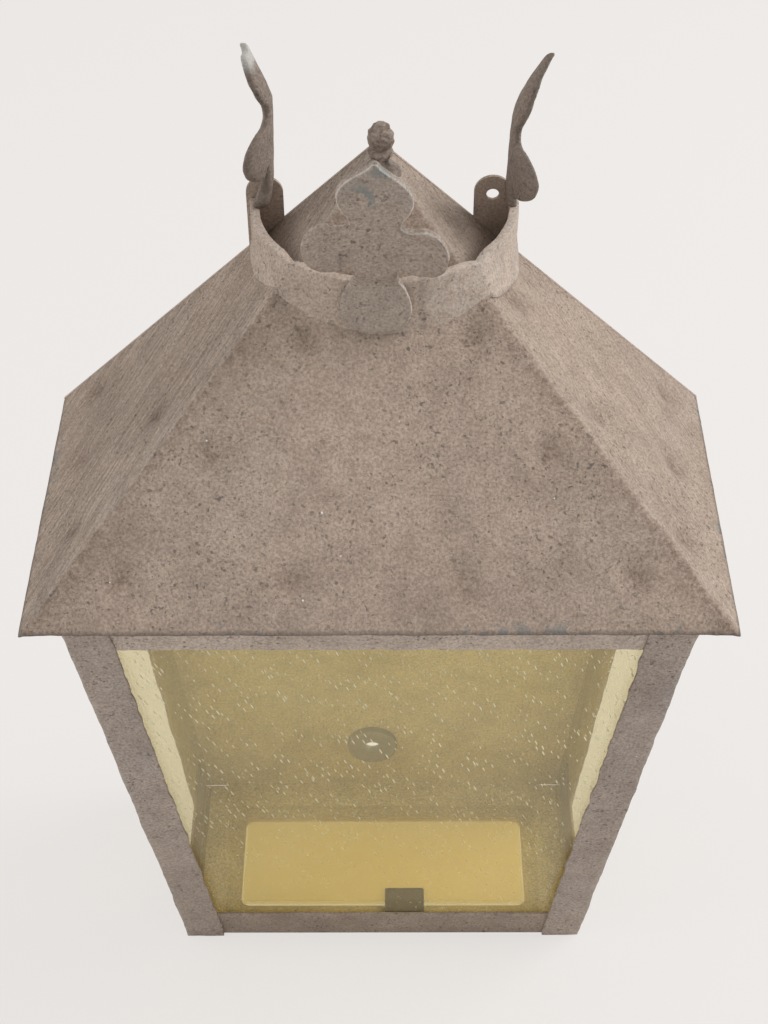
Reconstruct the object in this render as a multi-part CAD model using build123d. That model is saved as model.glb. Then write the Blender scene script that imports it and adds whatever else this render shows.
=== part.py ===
from build123d import *

import os
from math import asin, cos, degrees, hypot, radians, sin

# Half lantern for a wall, in millimetres. X runs to the viewer's right and Z up. While the pieces
# are made, the wall is the plane Y = 0 and the front faces -Y. The last step moves everything so
# that the origin is at the middle of the bounding box, on the surface that the lantern stands on.

# Roof: half of a hipped pyramid, its rear edge on the wall.
ROOF_WIDTH = 300.0
ROOF_DEPTH = 152.0
ROOF_RISE = 142.0
RIDGE_LENGTH = 10.0
ROOF_SHEET = 1.2

# Body: a glazed box that widens upward, with a flat upright back.
BODY_HEIGHT = 300.0
TOP_HALF_WIDTH = 138.0
TOP_DEPTH = 137.0
BOTTOM_HALF_WIDTH = 107.0
BOTTOM_DEPTH = 104.0
FRAME_SHEET = 1.5
BACK_SHEET = 1.5

# Corner angles and rails of the frame.
FRONT_POST_LEG = 20.0
REAR_POST_SIDE_LEG = 26.0
REAR_POST_BACK_LEG = 15.0
TOP_RAIL_HEIGHT = 32.0
BOTTOM_RAIL_HEIGHT = 22.0

# Base sheet and the loose pane that lies over its opening.
BASE_SHEET = 1.5
OPENING_HALF_WIDTH = 79.0
OPENING_REAR = 28.0
OPENING_LENGTH = 58.0
OPENING_CORNER = 5.0
PANE_LAP_SIDE = 8.0
PANE_LAP_REAR = 8.0
PANE_LAP_FRONT = 5.0

# Glass and the clips that hold it.
GLASS = 3.0
GLASS_TOP_DROP = 6.0
GLASS_CLEARANCE = 0.5
CLIP_SHEET = 1.0
CLIP_WIDTH = 12.0
CLIP_REACH = 12.0
CLIP_CLEARANCE = 0.3
CLIP_BELOW_RAIL_TOP = 0.5
FRONT_CLIP_OFFSET = 70.0
SIDE_CLIP_OFFSETS = (40.0, 100.0)

# Tab that keeps the loose pane down, and its rivet.
TAB_WIDTH = 21.5
TAB_CENTRE = 12.0
TAB_REACH = 14.0
RIVET_DIAMETER = 3.0
RIVET_HEAD_DIAMETER = 4.6
RIVET_HEAD_HEIGHT = 1.3

# Ears of the back plate, for the wall screws.
EAR_OFFSET = 49.0
EAR_WIDTH = 16.0
EAR_ABOVE_BAND = 10.0
EAR_HOLE = 5.5
EAR_HOLE_DROP = 9.0

# Rubber ring for the lead.
GROMMET_X = -6.0
GROMMET_Z = 40.0
GROMMET_FLANGE = 28.0
GROMMET_NECK = 18.0
GROMMET_BORE = 10.0
GROMMET_THICKNESS = 4.0
GROMMET_CLEARANCE = 0.05

# Crown band, scribed to the roof below and level on top.
BAND_RADIUS = 57.5
BAND_CENTRE = 5.5
BAND_SHEET = 4.0
BAND_HEIGHT = 25.0

# Fleur-de-lis plates. Heights run up the plate from the foot, widths are half widths.
FLEUR_FOOT_RISE = 1.5
FLEUR_PLATE = 3.5
FLEUR_LENGTH = 90.0
FOOT_HALF_WIDTH = 14.7
WAIST_HALF_WIDTH = 8.7
LOBE_HALF_WIDTH = 31.0
NECK_HALF_WIDTH = 9.6
PETAL_HALF_WIDTH = 15.8
BLADE_FLAT_HALF_WIDTH = 9.0
LOBE_CUP = 5.0
BLADE_OVERSWEEP = 8.0
FRONT_LEAN = 12.0

# Half plates standing on the band's ends, cut along their centre line at the wall. They curl
# outward in plan. A lift moves the lobe and half as much the tip, which differ from side to side.
# Each bend is a height above the band and how far outward the plate stands there.
HALF_FLEUR_INNER = 52.0
HALF_FLEUR_HEADING = 2.0
HALF_FLEUR_CURL_RADIUS = 31.0
HALF_FLEUR_CURL = 46.0
HALF_FLEUR_STEM = 8.0
HALF_FLEUR_LOBE = 20.5
HALF_FLEUR_NECK = 6.0
HALF_FLEUR_PETAL = 10.5
HALF_FLEUR_LENGTH = 71.5
RIGHT_LIFT = -5.0
LEFT_LIFT = 5.0
RIGHT_BENDS = ((0, 0), (26, 0), (46, 2.1), (54, 5.2), (64, 11), (76, 18.5))
LEFT_BENDS = ((0, 0), (6, -1.8), (12, -5), (30, -6.2), (50, -6.5), (57, -4.4), (64, -1.1), (76, 3.6))

# Ball finial at the head of the hips.
FINIAL_AHEAD = 2.0
FINIAL_BALL = 11.0
FINIAL_RISE = 9.5
FINIAL_COLLAR_DROP = 8.0
FINIAL_NECK = 6.4
FINIAL_COLLAR = 9.0
FINIAL_COLLAR_HEIGHT = 2.4
FINIAL_SPIGOT = 5.0
FINIAL_SPIGOT_DROP = 21.5
SPIGOT_CLEARANCE = 0.05

# Bracket under the roof and its two studs.
BRACKET_WIDTH = 24.0
BRACKET_SHEET = 2.0
BRACKET_RISE = 30.0
BRACKET_FLANGE = 34.0
BRACKET_NOSE = 20.0
STUD = 4.0
STUD_LENGTH = 9.0
STUD_SPACING = 14.0
STUD_NUT_ACROSS = 7.0
STUD_NUT_HEIGHT = 3.2
FIT_CLEARANCE = 0.1

# Lamp holder, hung on a threaded nipple.
HOLDER_Y = 62.0
NIPPLE = 10.0
NIPPLE_BORE = 7.0
NIPPLE_ABOVE = 9.0
NIPPLE_INTO_CAP = 6.0
NIPPLE_NUT_ACROSS = 14.0
NIPPLE_NUT_HEIGHT = 4.0
HOLDER_DIAMETER = 40.0
HOLDER_WALL = 2.0
HOLDER_LENGTH = 54.0
HOLDER_LIP = 43.0
HOLDER_LIP_HEIGHT = 5.0
CAP_HEIGHT = 20.0
CAP_TOP_DIAMETER = 22.0
CAP_KNEE = 9.0
CAP_SHOULDER = 16.0
SLEEVE_BORE = 26.6
SLEEVE_WALL = 0.8
SLEEVE_LENGTH = 24.0
INSULATOR_HEIGHT = 9.0
INSULATOR_HOLE = 3.5
CONTACT_RECESS = 20.0
CONTACT_RECESS_DEPTH = 5.5
CONTACT_WIDTH = 6.0
CONTACT_LENGTH = 16.0
CONTACT_SHEET = 0.6
CONTACT_SPRING = 4.0
EARTH_Y = 28.0
EARTH_SCREW = 4.0
EARTH_SCREW_LENGTH = 10.0
EARTH_HEAD = 8.0
EARTH_HEAD_HEIGHT = 2.6

# Values worked out from the sizes above.
EAVE_Z = BODY_HEIGHT
ROOF_TOP = EAVE_Z + ROOF_RISE
HALF_ROOF = ROOF_WIDTH / 2
SIDE_SLOPE = ROOF_RISE / HALF_ROOF
FRONT_SLOPE = ROOF_RISE / (ROOF_DEPTH - RIDGE_LENGTH)
GLASS_INSET = 2 * FRAME_SHEET
REAR_INSET = BACK_SHEET + FRAME_SHEET
FINIAL_Y = RIDGE_LENGTH + FINIAL_AHEAD
FINIAL_BALL_Z = ROOF_TOP + FINIAL_RISE
BAND_FOOT = EAVE_Z + FRONT_SLOPE * (ROOF_DEPTH - BAND_CENTRE - BAND_RADIUS)
BAND_TOP = BAND_FOOT + BAND_HEIGHT
FLEUR_FOOT_Z = BAND_FOOT + FLEUR_FOOT_RISE
EAR_TOP = BAND_TOP + EAR_ABOVE_BAND
BRACKET_Z = EAVE_Z + BRACKET_RISE
TALL = 2 * ROOF_TOP


# Plan limits that follow the sloping walls of the body.

def side(inset):
    """X of the right wall at a height, a distance inside its outer face."""
    spread = TOP_HALF_WIDTH - BOTTOM_HALF_WIDTH
    return lambda z: BOTTOM_HALF_WIDTH + spread * z / BODY_HEIGHT - inset


def left(inset):
    """X of the left wall at a height, a distance inside its outer face."""
    return lambda z: -side(inset)(z)


def front(inset):
    """Y of the front wall at a height, a distance inside its outer face."""
    spread = TOP_DEPTH - BOTTOM_DEPTH
    return lambda z: inset - BOTTOM_DEPTH - spread * z / BODY_HEIGHT


def level(value):
    """A plan limit that stays the same at every height."""
    return lambda z: value


def leaning(low, high, corners):
    """Solid between two heights over a plan outline whose corners are pairs of limits."""
    rings = []
    for z in (low, high):
        rings.append(Wire.make_polygon([(x(z), y(z), z) for x, y in corners]))
    return Solid.make_loft(rings, True)


def wall(low, high, x_from, x_to, y_from, y_to):
    """Four-sided leaning solid between plan limits."""
    corners = [(x_from, y_from), (x_to, y_from), (x_to, y_to), (x_from, y_to)]
    return leaning(low, high, corners)


def mirrored(piece):
    """The same piece on the other side of the lantern."""
    return mirror(piece, about=Plane.YZ)


def rod(x, y, low, high, diameter):
    """Upright cylinder between two heights."""
    return Pos(x, y, low) * Cylinder(diameter / 2, high - low, align=(Align.CENTER, Align.CENTER, Align.MIN))


# Roof.

def roof_form(sink=0.0):
    """Solid under the roof's outer faces, sunk square to each slope by a thickness."""
    top = ROOF_TOP - sink * hypot(1, SIDE_SLOPE)
    half = (top - EAVE_Z) / SIDE_SLOPE
    across = Plane.XZ * make_face(Polyline((-half, EAVE_Z), (half, EAVE_Z), (0, top), close=True))
    reach = ROOF_DEPTH - sink * hypot(1, FRONT_SLOPE) / FRONT_SLOPE
    rear_height = EAVE_Z + reach * FRONT_SLOPE
    profile = Polyline((0, EAVE_Z), (-reach, EAVE_Z), (0, rear_height), close=True)
    along = Plane.YZ * make_face(profile)
    return extrude(across, ROOF_DEPTH) & extrude(along, HALF_ROOF, both=True)


def roof_corners(sink):
    """Eave corner, ridge front and ridge rear of the right-hand side, sunk by a thickness."""
    top = ROOF_TOP - sink * hypot(1, SIDE_SLOPE)
    x = (top - EAVE_Z) / SIDE_SLOPE
    y = ROOF_DEPTH - sink * hypot(1, FRONT_SLOPE) / FRONT_SLOPE
    ridge = y - (top - EAVE_Z) / FRONT_SLOPE
    return (x, -y, EAVE_Z), (0, -ridge, top), (0, -BACK_SHEET, top)


def spigot_hole():
    return rod(0, -FINIAL_Y, EAVE_Z, TALL, FINIAL_SPIGOT + 2 * SPIGOT_CLEARANCE)


def roof_front():
    """Triangular front sheet, mitred along both hips."""
    rings = []
    for sink in (0, ROOF_SHEET):
        corner, ridge, rear = roof_corners(sink)
        rings.append(Wire.make_polygon([(-corner[0], corner[1], corner[2]), corner, ridge]))
    return Solid.make_loft(rings, True) - spigot_hole()


def roof_side():
    """Right-hand side sheet, from the front hip to the back plate."""
    rings = []
    for sink in (0, ROOF_SHEET):
        corner, ridge, rear = roof_corners(sink)
        rings.append(Wire.make_polygon([corner, (corner[0], -BACK_SHEET, corner[2]), rear, ridge]))
    return Solid.make_loft(rings, True) - spigot_hole()


def under_roof(piece):
    """Trim whatever of a piece reaches above the roof's lining."""
    outside = Pos(0, 0, EAVE_Z) * Box(
        2 * ROOF_WIDTH, 2 * ROOF_WIDTH, ROOF_WIDTH, align=(Align.CENTER, Align.CENTER, Align.MIN)
    )
    return piece - (outside - roof_form(ROOF_SHEET))


# Frame.

def front_post():
    """Right front corner angle, from the base up to the roof's lining."""
    leg, sheet = FRONT_POST_LEG, FRAME_SHEET
    corners = [
        (side(0), front(0)),
        (side(0), front(leg)),
        (side(sheet), front(leg)),
        (side(sheet), front(sheet)),
        (side(leg), front(sheet)),
        (side(leg), front(0)),
    ]
    return under_roof(leaning(0, ROOF_TOP, corners))


def rear_post():
    """Right rear corner angle, its short leg lying on the back plate."""
    rear, inner = level(-BACK_SHEET), level(-REAR_INSET)
    leg_end = level(-BACK_SHEET - REAR_POST_SIDE_LEG)
    corners = [
        (side(0), rear),
        (side(0), leg_end),
        (side(FRAME_SHEET), leg_end),
        (side(FRAME_SHEET), inner),
        (side(REAR_POST_BACK_LEG), inner),
        (side(REAR_POST_BACK_LEG), rear),
    ]
    return under_roof(leaning(0, ROOF_TOP, corners))


def front_rail(low, high):
    """Rail behind the front posts' front legs."""
    return wall(low, high, left(FRAME_SHEET), side(FRAME_SHEET), front(FRAME_SHEET), front(GLASS_INSET))


def side_rail(low, high):
    """Rail inside the right-hand posts' side legs, from the front rail to the rear post."""
    return wall(low, high, side(GLASS_INSET), side(FRAME_SHEET), front(GLASS_INSET), level(-REAR_INSET))


def back_plate():
    """Upright back sheet: body, gable and the two screw ears in one piece."""
    outline = Polyline(
        (-BOTTOM_HALF_WIDTH, 0),
        (BOTTOM_HALF_WIDTH, 0),
        (TOP_HALF_WIDTH, BODY_HEIGHT),
        (HALF_ROOF, EAVE_Z),
        (0, ROOF_TOP),
        (-HALF_ROOF, EAVE_Z),
        (-TOP_HALF_WIDTH, BODY_HEIGHT),
        close=True,
    )
    sheet = make_face(outline)
    straight = EAR_TOP - EAR_WIDTH / 2 - EAVE_Z
    for x in (-EAR_OFFSET, EAR_OFFSET):
        sheet += Pos(x, EAVE_Z) * Rectangle(EAR_WIDTH, straight, align=(Align.CENTER, Align.MIN))
        sheet += Pos(x, EAR_TOP - EAR_WIDTH / 2) * Circle(EAR_WIDTH / 2)
        sheet -= Pos(x, EAR_TOP - EAR_HOLE_DROP) * Circle(EAR_HOLE / 2)
    sheet -= Pos(GROMMET_X, GROMMET_Z) * Circle(GROMMET_NECK / 2 + GROMMET_CLEARANCE)
    return extrude(Plane.XZ * sheet, BACK_SHEET)


def base_sheet():
    """Bottom sheet inside the rails, with the opening for changing the bulb."""
    sheet = wall(0, BASE_SHEET, left(GLASS_INSET), side(GLASS_INSET), front(GLASS_INSET), level(-BACK_SHEET))
    opening = RectangleRounded(2 * OPENING_HALF_WIDTH, OPENING_LENGTH, OPENING_CORNER)
    middle = OPENING_REAR + OPENING_LENGTH / 2
    sheet -= Pos(0, -middle) * extrude(opening, BASE_SHEET, both=True)
    sheet -= rod(TAB_CENTRE, tab_rivet_y(), -BASE_SHEET, 2 * BASE_SHEET, RIVET_DIAMETER)
    post = rear_post()
    return sheet - post - mirrored(post)


# Glass.

def glass_top():
    return BODY_HEIGHT - GLASS_TOP_DROP


def glass_front():
    edge = GLASS_INSET + GLASS + GLASS_CLEARANCE
    inner = front(GLASS_INSET + GLASS)
    return wall(BASE_SHEET, glass_top(), left(edge), side(edge), front(GLASS_INSET), inner)


def glass_side():
    rear = level(-REAR_INSET - GLASS_CLEARANCE)
    front_edge = front(GLASS_INSET + GLASS_CLEARANCE)
    return wall(BASE_SHEET, glass_top(), side(GLASS_INSET + GLASS), side(GLASS_INSET), front_edge, rear)


def pane_front_edge():
    """Distance from the wall to the loose pane's front edge."""
    return OPENING_REAR + OPENING_LENGTH + PANE_LAP_FRONT


def glass_base():
    """Loose pane lying over the base opening."""
    rear = OPENING_REAR - PANE_LAP_REAR
    length = pane_front_edge() - rear
    plate = Box(2 * (OPENING_HALF_WIDTH + PANE_LAP_SIDE), length, GLASS, align=(Align.CENTER, Align.MAX, Align.MIN))
    return Pos(0, -rear, BASE_SHEET) * plate


def clip_sections():
    """Height and inset ranges of the three legs of a glass clip."""
    top = glass_top() + CLIP_CLEARANCE
    near = GLASS_INSET + GLASS + CLIP_CLEARANCE
    far = near + CLIP_SHEET
    on_rail = (top, BODY_HEIGHT - CLIP_BELOW_RAIL_TOP, GLASS_INSET, GLASS_INSET + CLIP_SHEET)
    bridge = (top, top + CLIP_SHEET, GLASS_INSET, far)
    on_glass = (top - CLIP_REACH, top + CLIP_SHEET, near, far)
    return on_rail, bridge, on_glass


def front_clip(x):
    """Clip over the front pane's top edge, its middle at an X."""
    x_from, x_to = level(x - CLIP_WIDTH / 2), level(x + CLIP_WIDTH / 2)
    legs = [wall(low, high, x_from, x_to, front(near), front(far)) for low, high, near, far in clip_sections()]
    return legs[0] + legs[1] + legs[2]


def side_clip(y):
    """Clip over the right pane's top edge, its middle at a distance from the wall."""
    y_from, y_to = level(-y - CLIP_WIDTH / 2), level(-y + CLIP_WIDTH / 2)
    legs = [wall(low, high, side(far), side(near), y_from, y_to) for low, high, near, far in clip_sections()]
    return legs[0] + legs[1] + legs[2]


def tab_riser():
    """Y of the tab's riser, beside the loose pane's front edge."""
    return -(pane_front_edge() + CLIP_CLEARANCE)


def tab_toe():
    """Y of the foot's free edge, beside the front pane."""
    return front(GLASS_INSET + GLASS)(BASE_SHEET) + CLIP_CLEARANCE


def tab_rivet_y():
    """Y of the rivet, in the middle of the tab's foot."""
    return (tab_riser() - CLIP_SHEET + tab_toe()) / 2


def pane_tab():
    """Stepped tab: foot on the base sheet, riser, and a leg over the loose pane."""
    low = BASE_SHEET
    over = BASE_SHEET + GLASS + CLIP_CLEARANCE
    riser = tab_riser()
    profile = Polyline(
        (tab_toe(), low),
        (riser, low),
        (riser, over),
        (riser + TAB_REACH, over),
        (riser + TAB_REACH, over + CLIP_SHEET),
        (riser - CLIP_SHEET, over + CLIP_SHEET),
        (riser - CLIP_SHEET, low + CLIP_SHEET),
        (tab_toe(), low + CLIP_SHEET),
        close=True,
    )
    strip = extrude(Plane.YZ * make_face(profile), TAB_WIDTH / 2, both=True)
    hole = rod(0, tab_rivet_y(), 0, BASE_SHEET + 2 * CLIP_SHEET, RIVET_DIAMETER)
    return Pos(TAB_CENTRE) * (strip - hole)


def tab_rivet():
    """Rivet flush below the base sheet, domed above the tab's foot."""
    seat = BASE_SHEET + CLIP_SHEET
    shank = rod(TAB_CENTRE, tab_rivet_y(), 0, seat, RIVET_DIAMETER)
    radius = RIVET_HEAD_DIAMETER / 2
    dome = (radius**2 + RIVET_HEAD_HEIGHT**2) / (2 * RIVET_HEAD_HEIGHT)
    ball = Pos(TAB_CENTRE, tab_rivet_y(), seat + RIVET_HEAD_HEIGHT - dome) * Sphere(dome)
    return shank + (ball & rod(TAB_CENTRE, tab_rivet_y(), seat, seat + dome, 2 * dome))


# Crown.

def band_plan(radius):
    """Half-round plan region: an arc in front and two straight legs to the back plate."""
    legs = Rectangle(2 * radius, BAND_CENTRE - BACK_SHEET, align=(Align.CENTER, Align.MIN))
    region = Pos(0, -BAND_CENTRE) * (Circle(radius) + legs)
    keep = Pos(0, -BACK_SHEET) * Rectangle(4 * radius, 4 * radius, align=(Align.CENTER, Align.MAX))
    return region & keep


def crown_band():
    """Upright band bent to the plan, its lower edge scribed to the roof."""
    shell = band_plan(BAND_RADIUS) - band_plan(BAND_RADIUS - BAND_SHEET)
    upright = Pos(0, 0, EAVE_Z) * extrude(shell, BAND_TOP - EAVE_Z)
    return upright - roof_form()


def fleur_outline():
    """Right half of the fleur-de-lis, closed along its centre line, foot at the origin."""
    waist, neck = WAIST_HALF_WIDTH, NECK_HALF_WIDTH
    lobe, petal, foot = LOBE_HALF_WIDTH, PETAL_HALF_WIDTH, FOOT_HALF_WIDTH
    edges = [
        ThreePointArc((0, 0), (foot * 0.72, 4.6), (foot, 15.5)),
        ThreePointArc((foot, 15.5), (foot * 0.9, 22), (waist, 25.8)),
        Line((waist, 25.8), (waist - 0.4, 35)),
        ThreePointArc((waist - 0.4, 35), (waist + 2, 38), (waist + 4.6, 35.4)),
        ThreePointArc((waist + 4.6, 35.4), (lobe * 0.64, 31.5), (lobe * 0.88, 35)),
        ThreePointArc((lobe * 0.88, 35), (lobe, 43.5), (lobe * 0.9, 51.5)),
        ThreePointArc((lobe * 0.9, 51.5), (lobe * 0.65, 56.5), (neck + 0.6, 56.5)),
        ThreePointArc((neck + 0.6, 56.5), (neck, 60), (neck + 1.8, 63.5)),
        ThreePointArc((neck + 1.8, 63.5), (petal, 71), (petal * 0.93, 78)),
        ThreePointArc((petal * 0.93, 78), (petal * 0.45, 84.5), (0, FLEUR_LENGTH)),
        Line((0, FLEUR_LENGTH), (0, 0)),
    ]
    return make_face(edges)


def blade_section():
    """Plan section of a plate above its bend: flat in the middle, both lobes cupped outward."""
    spread = LOBE_HALF_WIDTH - BLADE_FLAT_HALF_WIDTH
    radius = (spread**2 + LOBE_CUP**2) / (2 * LOBE_CUP)
    sweep = degrees(asin(spread / radius)) + BLADE_OVERSWEEP
    flat = BLADE_FLAT_HALF_WIDTH
    near = JernArc((flat, 0), (1, 0), radius, -sweep)
    far = JernArc((flat, -FLEUR_PLATE), (1, 0), radius - FLEUR_PLATE, -sweep)
    edges = [Line((0, 0), (flat, 0)), near, Line(near @ 1, far @ 1), far]
    edges += [Line(far @ 0, (0, -FLEUR_PLATE)), Line((0, -FLEUR_PLATE), (0, 0))]
    half = make_face(edges)
    return half + mirror(half, about=Plane.YZ)


def front_fleur():
    """Whole plate in the middle of the band's outside.

    The foot follows the band's curve, and the blade above it leans outward from the band's top.
    """
    face_y = -BAND_CENTRE - BAND_RADIUS
    half = fleur_outline()
    shape = half + mirror(half, about=Plane.YZ)
    prism = Pos(0, 0, FLEUR_FOOT_Z) * extrude(Plane.XZ * shape, 2 * BAND_RADIUS)
    skin = band_plan(BAND_RADIUS + FLEUR_PLATE) - band_plan(BAND_RADIUS)
    foot = Pos(0, 0, FLEUR_FOOT_Z) * extrude(skin, BAND_TOP - FLEUR_FOOT_Z)
    blade = Pos(0, face_y, BAND_TOP) * extrude(blade_section(), FLEUR_LENGTH) & prism
    blade = blade.rotate(Axis((0, face_y, BAND_TOP), (1, 0, 0)), FRONT_LEAN)
    return (foot & prism) + blade - roof_form()


def half_fleur_outline(lift):
    """Forward reach and height of the half plate, from the foot of its cut edge."""
    stem, lobe, neck, petal = HALF_FLEUR_STEM, HALF_FLEUR_LOBE, HALF_FLEUR_NECK, HALF_FLEUR_PETAL
    tip = HALF_FLEUR_LENGTH + lift / 2
    foot = Polyline((0, tip), (0, 0), (stem, 0), (stem, 12 + lift), (stem + 1, 16.5 + lift))
    edge = [
        ThreePointArc((stem + 1, 16.5 + lift), (lobe * 0.63, 12.5 + lift), (lobe * 0.88, 15 + lift)),
        ThreePointArc((lobe * 0.88, 15 + lift), (lobe, 22 + lift), (lobe * 0.88, 30.5 + lift)),
        ThreePointArc((lobe * 0.88, 30.5 + lift), (lobe * 0.66, 34.8 + lift), (neck + 0.2, 36 + lift)),
        ThreePointArc((neck + 0.2, 36 + lift), (neck, 39.5 + lift), (neck + 2.1, 43.5 + lift)),
        ThreePointArc((neck + 2.1, 43.5 + lift), (petal, 52 + lift), (petal * 0.85, tip - 13)),
        ThreePointArc((petal * 0.85, tip - 13), (petal * 0.5, tip - 6.5), (0, tip)),
    ]
    return make_face(foot.edges() + edge)


def half_fleur_section():
    """Plan section of the right half plate, curling outward on its way from the wall."""
    turn = radians(HALF_FLEUR_HEADING)
    heading = (sin(turn), -cos(turn))
    start = Vector(HALF_FLEUR_INNER, -BACK_SHEET)
    behind = start + Vector(cos(turn), sin(turn)) * FLEUR_PLATE
    near = JernArc(start, heading, HALF_FLEUR_CURL_RADIUS, HALF_FLEUR_CURL)
    far = JernArc(behind, heading, HALF_FLEUR_CURL_RADIUS - FLEUR_PLATE, HALF_FLEUR_CURL)
    return make_face([near, Line(near @ 1, far @ 1), far, Line(far @ 0, near @ 0)])


def half_fleur(lift, bends):
    """Right half plate: its curled section drawn up through the bends, then cut to the outline."""
    section = half_fleur_section()
    steps = []
    for (low, near), (high, far) in zip(bends, bends[1:]):
        foot = Pos(near, 0, BAND_TOP + low) * section.face()
        steps.append(Solid.extrude(foot, Vector(far - near, 0, high - low)))
    sheet = steps[0].fuse(*steps[1:])
    outline = Rot(0, 0, 180) * (Plane.YZ * half_fleur_outline(lift))
    cutter = Pos(0, -BACK_SHEET, BAND_TOP) * extrude(outline, 2 * BAND_RADIUS, both=True)
    return sheet & cutter


def finial():
    """Ball on a collared neck, its spigot through the head of the roof."""
    y, ball_z = -FINIAL_Y, FINIAL_BALL_Z
    collar_z = ball_z - FINIAL_COLLAR_DROP
    body = Pos(0, y, ball_z) * Sphere(FINIAL_BALL / 2)
    body += rod(0, y, EAVE_Z, ball_z, FINIAL_NECK)
    body += rod(0, y, collar_z, collar_z + FINIAL_COLLAR_HEIGHT, FINIAL_COLLAR)
    body -= roof_form()
    return body + rod(0, y, ball_z - FINIAL_SPIGOT_DROP, ball_z, FINIAL_SPIGOT)


# Lamp holder and its bracket.

def hexagon_nut(across, bore, height):
    """Nut lying flat, its lower face on the origin."""
    plate = RegularPolygon(across / 2, 6, major_radius=False) - Circle(bore / 2)
    return extrude(plate, height)


def stud_heights():
    middle = BRACKET_Z + BRACKET_FLANGE / 2
    return middle - STUD_SPACING / 2, middle + STUD_SPACING / 2


def bracket():
    """Angle strap: flange up the back plate, arm forward over the bulb."""
    arm_length = HOLDER_Y + BRACKET_NOSE
    profile = Polyline(
        (-BACK_SHEET, BRACKET_Z - BRACKET_SHEET),
        (-BACK_SHEET, BRACKET_Z + BRACKET_FLANGE),
        (-BACK_SHEET - BRACKET_SHEET, BRACKET_Z + BRACKET_FLANGE),
        (-BACK_SHEET - BRACKET_SHEET, BRACKET_Z),
        (-arm_length, BRACKET_Z),
        (-arm_length, BRACKET_Z - BRACKET_SHEET),
        close=True,
    )
    strap = extrude(Plane.YZ * make_face(profile), BRACKET_WIDTH / 2, both=True)
    low, high = BRACKET_Z - 2 * BRACKET_SHEET, BRACKET_Z + BRACKET_SHEET
    strap -= rod(0, -HOLDER_Y, low, high, NIPPLE + FIT_CLEARANCE)
    strap -= rod(0, -EARTH_Y, low, high, EARTH_SCREW + FIT_CLEARANCE)
    for z in stud_heights():
        hole = Circle((STUD + FIT_CLEARANCE) / 2)
        strap -= extrude(Plane.XZ * (Pos(0, z) * hole), STUD_LENGTH + BACK_SHEET)
    return strap


def stud(z):
    """Stud welded to the back plate."""
    return extrude(Plane.XZ.offset(BACK_SHEET) * (Pos(0, z) * Circle(STUD / 2)), STUD_LENGTH)


def stud_nut(z):
    """Nut on the bracket's flange."""
    seat = Plane.XZ.offset(BACK_SHEET + BRACKET_SHEET)
    return seat * Pos(0, z) * hexagon_nut(STUD_NUT_ACROSS, STUD + FIT_CLEARANCE, STUD_NUT_HEIGHT)


def cap_top():
    return BRACKET_Z - BRACKET_SHEET - NIPPLE_NUT_HEIGHT


def holder_top():
    return cap_top() - CAP_HEIGHT


def holder_mouth():
    return holder_top() - HOLDER_LENGTH


def at_holder(z):
    return Pos(0, -HOLDER_Y, z)


def nipple():
    low = cap_top() - NIPPLE_INTO_CAP
    high = BRACKET_Z + NIPPLE_ABOVE
    tube = Circle(NIPPLE / 2) - Circle(NIPPLE_BORE / 2)
    return at_holder(low) * extrude(tube, high - low)


def nipple_nut(z):
    return at_holder(z) * hexagon_nut(NIPPLE_NUT_ACROSS, NIPPLE + FIT_CLEARANCE, NIPPLE_NUT_HEIGHT)


def holder_cap():
    """Domed cap: hole for the nipple on top, open below."""
    outer, top = HOLDER_DIAMETER / 2, CAP_TOP_DIAMETER / 2
    inner, hole = outer - HOLDER_WALL, (NIPPLE + FIT_CLEARANCE) / 2
    knee, shoulder = CAP_KNEE, CAP_SHOULDER
    lining_top = CAP_HEIGHT - HOLDER_WALL
    profile = [
        Line((hole, CAP_HEIGHT), (top, CAP_HEIGHT)),
        RadiusArc((top, CAP_HEIGHT), (outer, knee), -shoulder),
        Line((outer, knee), (outer, 0)),
        Line((outer, 0), (inner, 0)),
        Line((inner, 0), (inner, knee)),
        RadiusArc((inner, knee), (top - HOLDER_WALL / 2, lining_top), shoulder - HOLDER_WALL),
        Line((top - HOLDER_WALL / 2, lining_top), (hole, lining_top)),
        Line((hole, lining_top), (hole, CAP_HEIGHT)),
    ]
    return at_holder(holder_top()) * revolve(Plane.XZ * make_face(profile), Axis.Z)


def holder_shell():
    """Skirt with a lip round its mouth."""
    inner = Circle(HOLDER_DIAMETER / 2 - HOLDER_WALL)
    skirt = extrude(Circle(HOLDER_DIAMETER / 2) - inner, HOLDER_LENGTH)
    lip = extrude(Circle(HOLDER_LIP / 2) - inner, HOLDER_LIP_HEIGHT)
    return at_holder(holder_mouth()) * (skirt + lip)


def sleeve_top():
    return holder_mouth() + HOLDER_LIP_HEIGHT + SLEEVE_LENGTH


def screw_sleeve():
    """Thin sleeve that takes the bulb's cap."""
    ring = Circle(SLEEVE_BORE / 2 + SLEEVE_WALL) - Circle(SLEEVE_BORE / 2)
    return at_holder(sleeve_top() - SLEEVE_LENGTH) * extrude(ring, SLEEVE_LENGTH)


def insulator():
    """Disc across the skirt that carries the sleeve, with a recess below for the contact."""
    disc = Circle(HOLDER_DIAMETER / 2 - HOLDER_WALL - FIT_CLEARANCE) - Circle(INSULATOR_HOLE / 2)
    recess = extrude(Circle(CONTACT_RECESS / 2), CONTACT_RECESS_DEPTH)
    return at_holder(sleeve_top()) * (extrude(disc, INSULATOR_HEIGHT) - recess)


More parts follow.
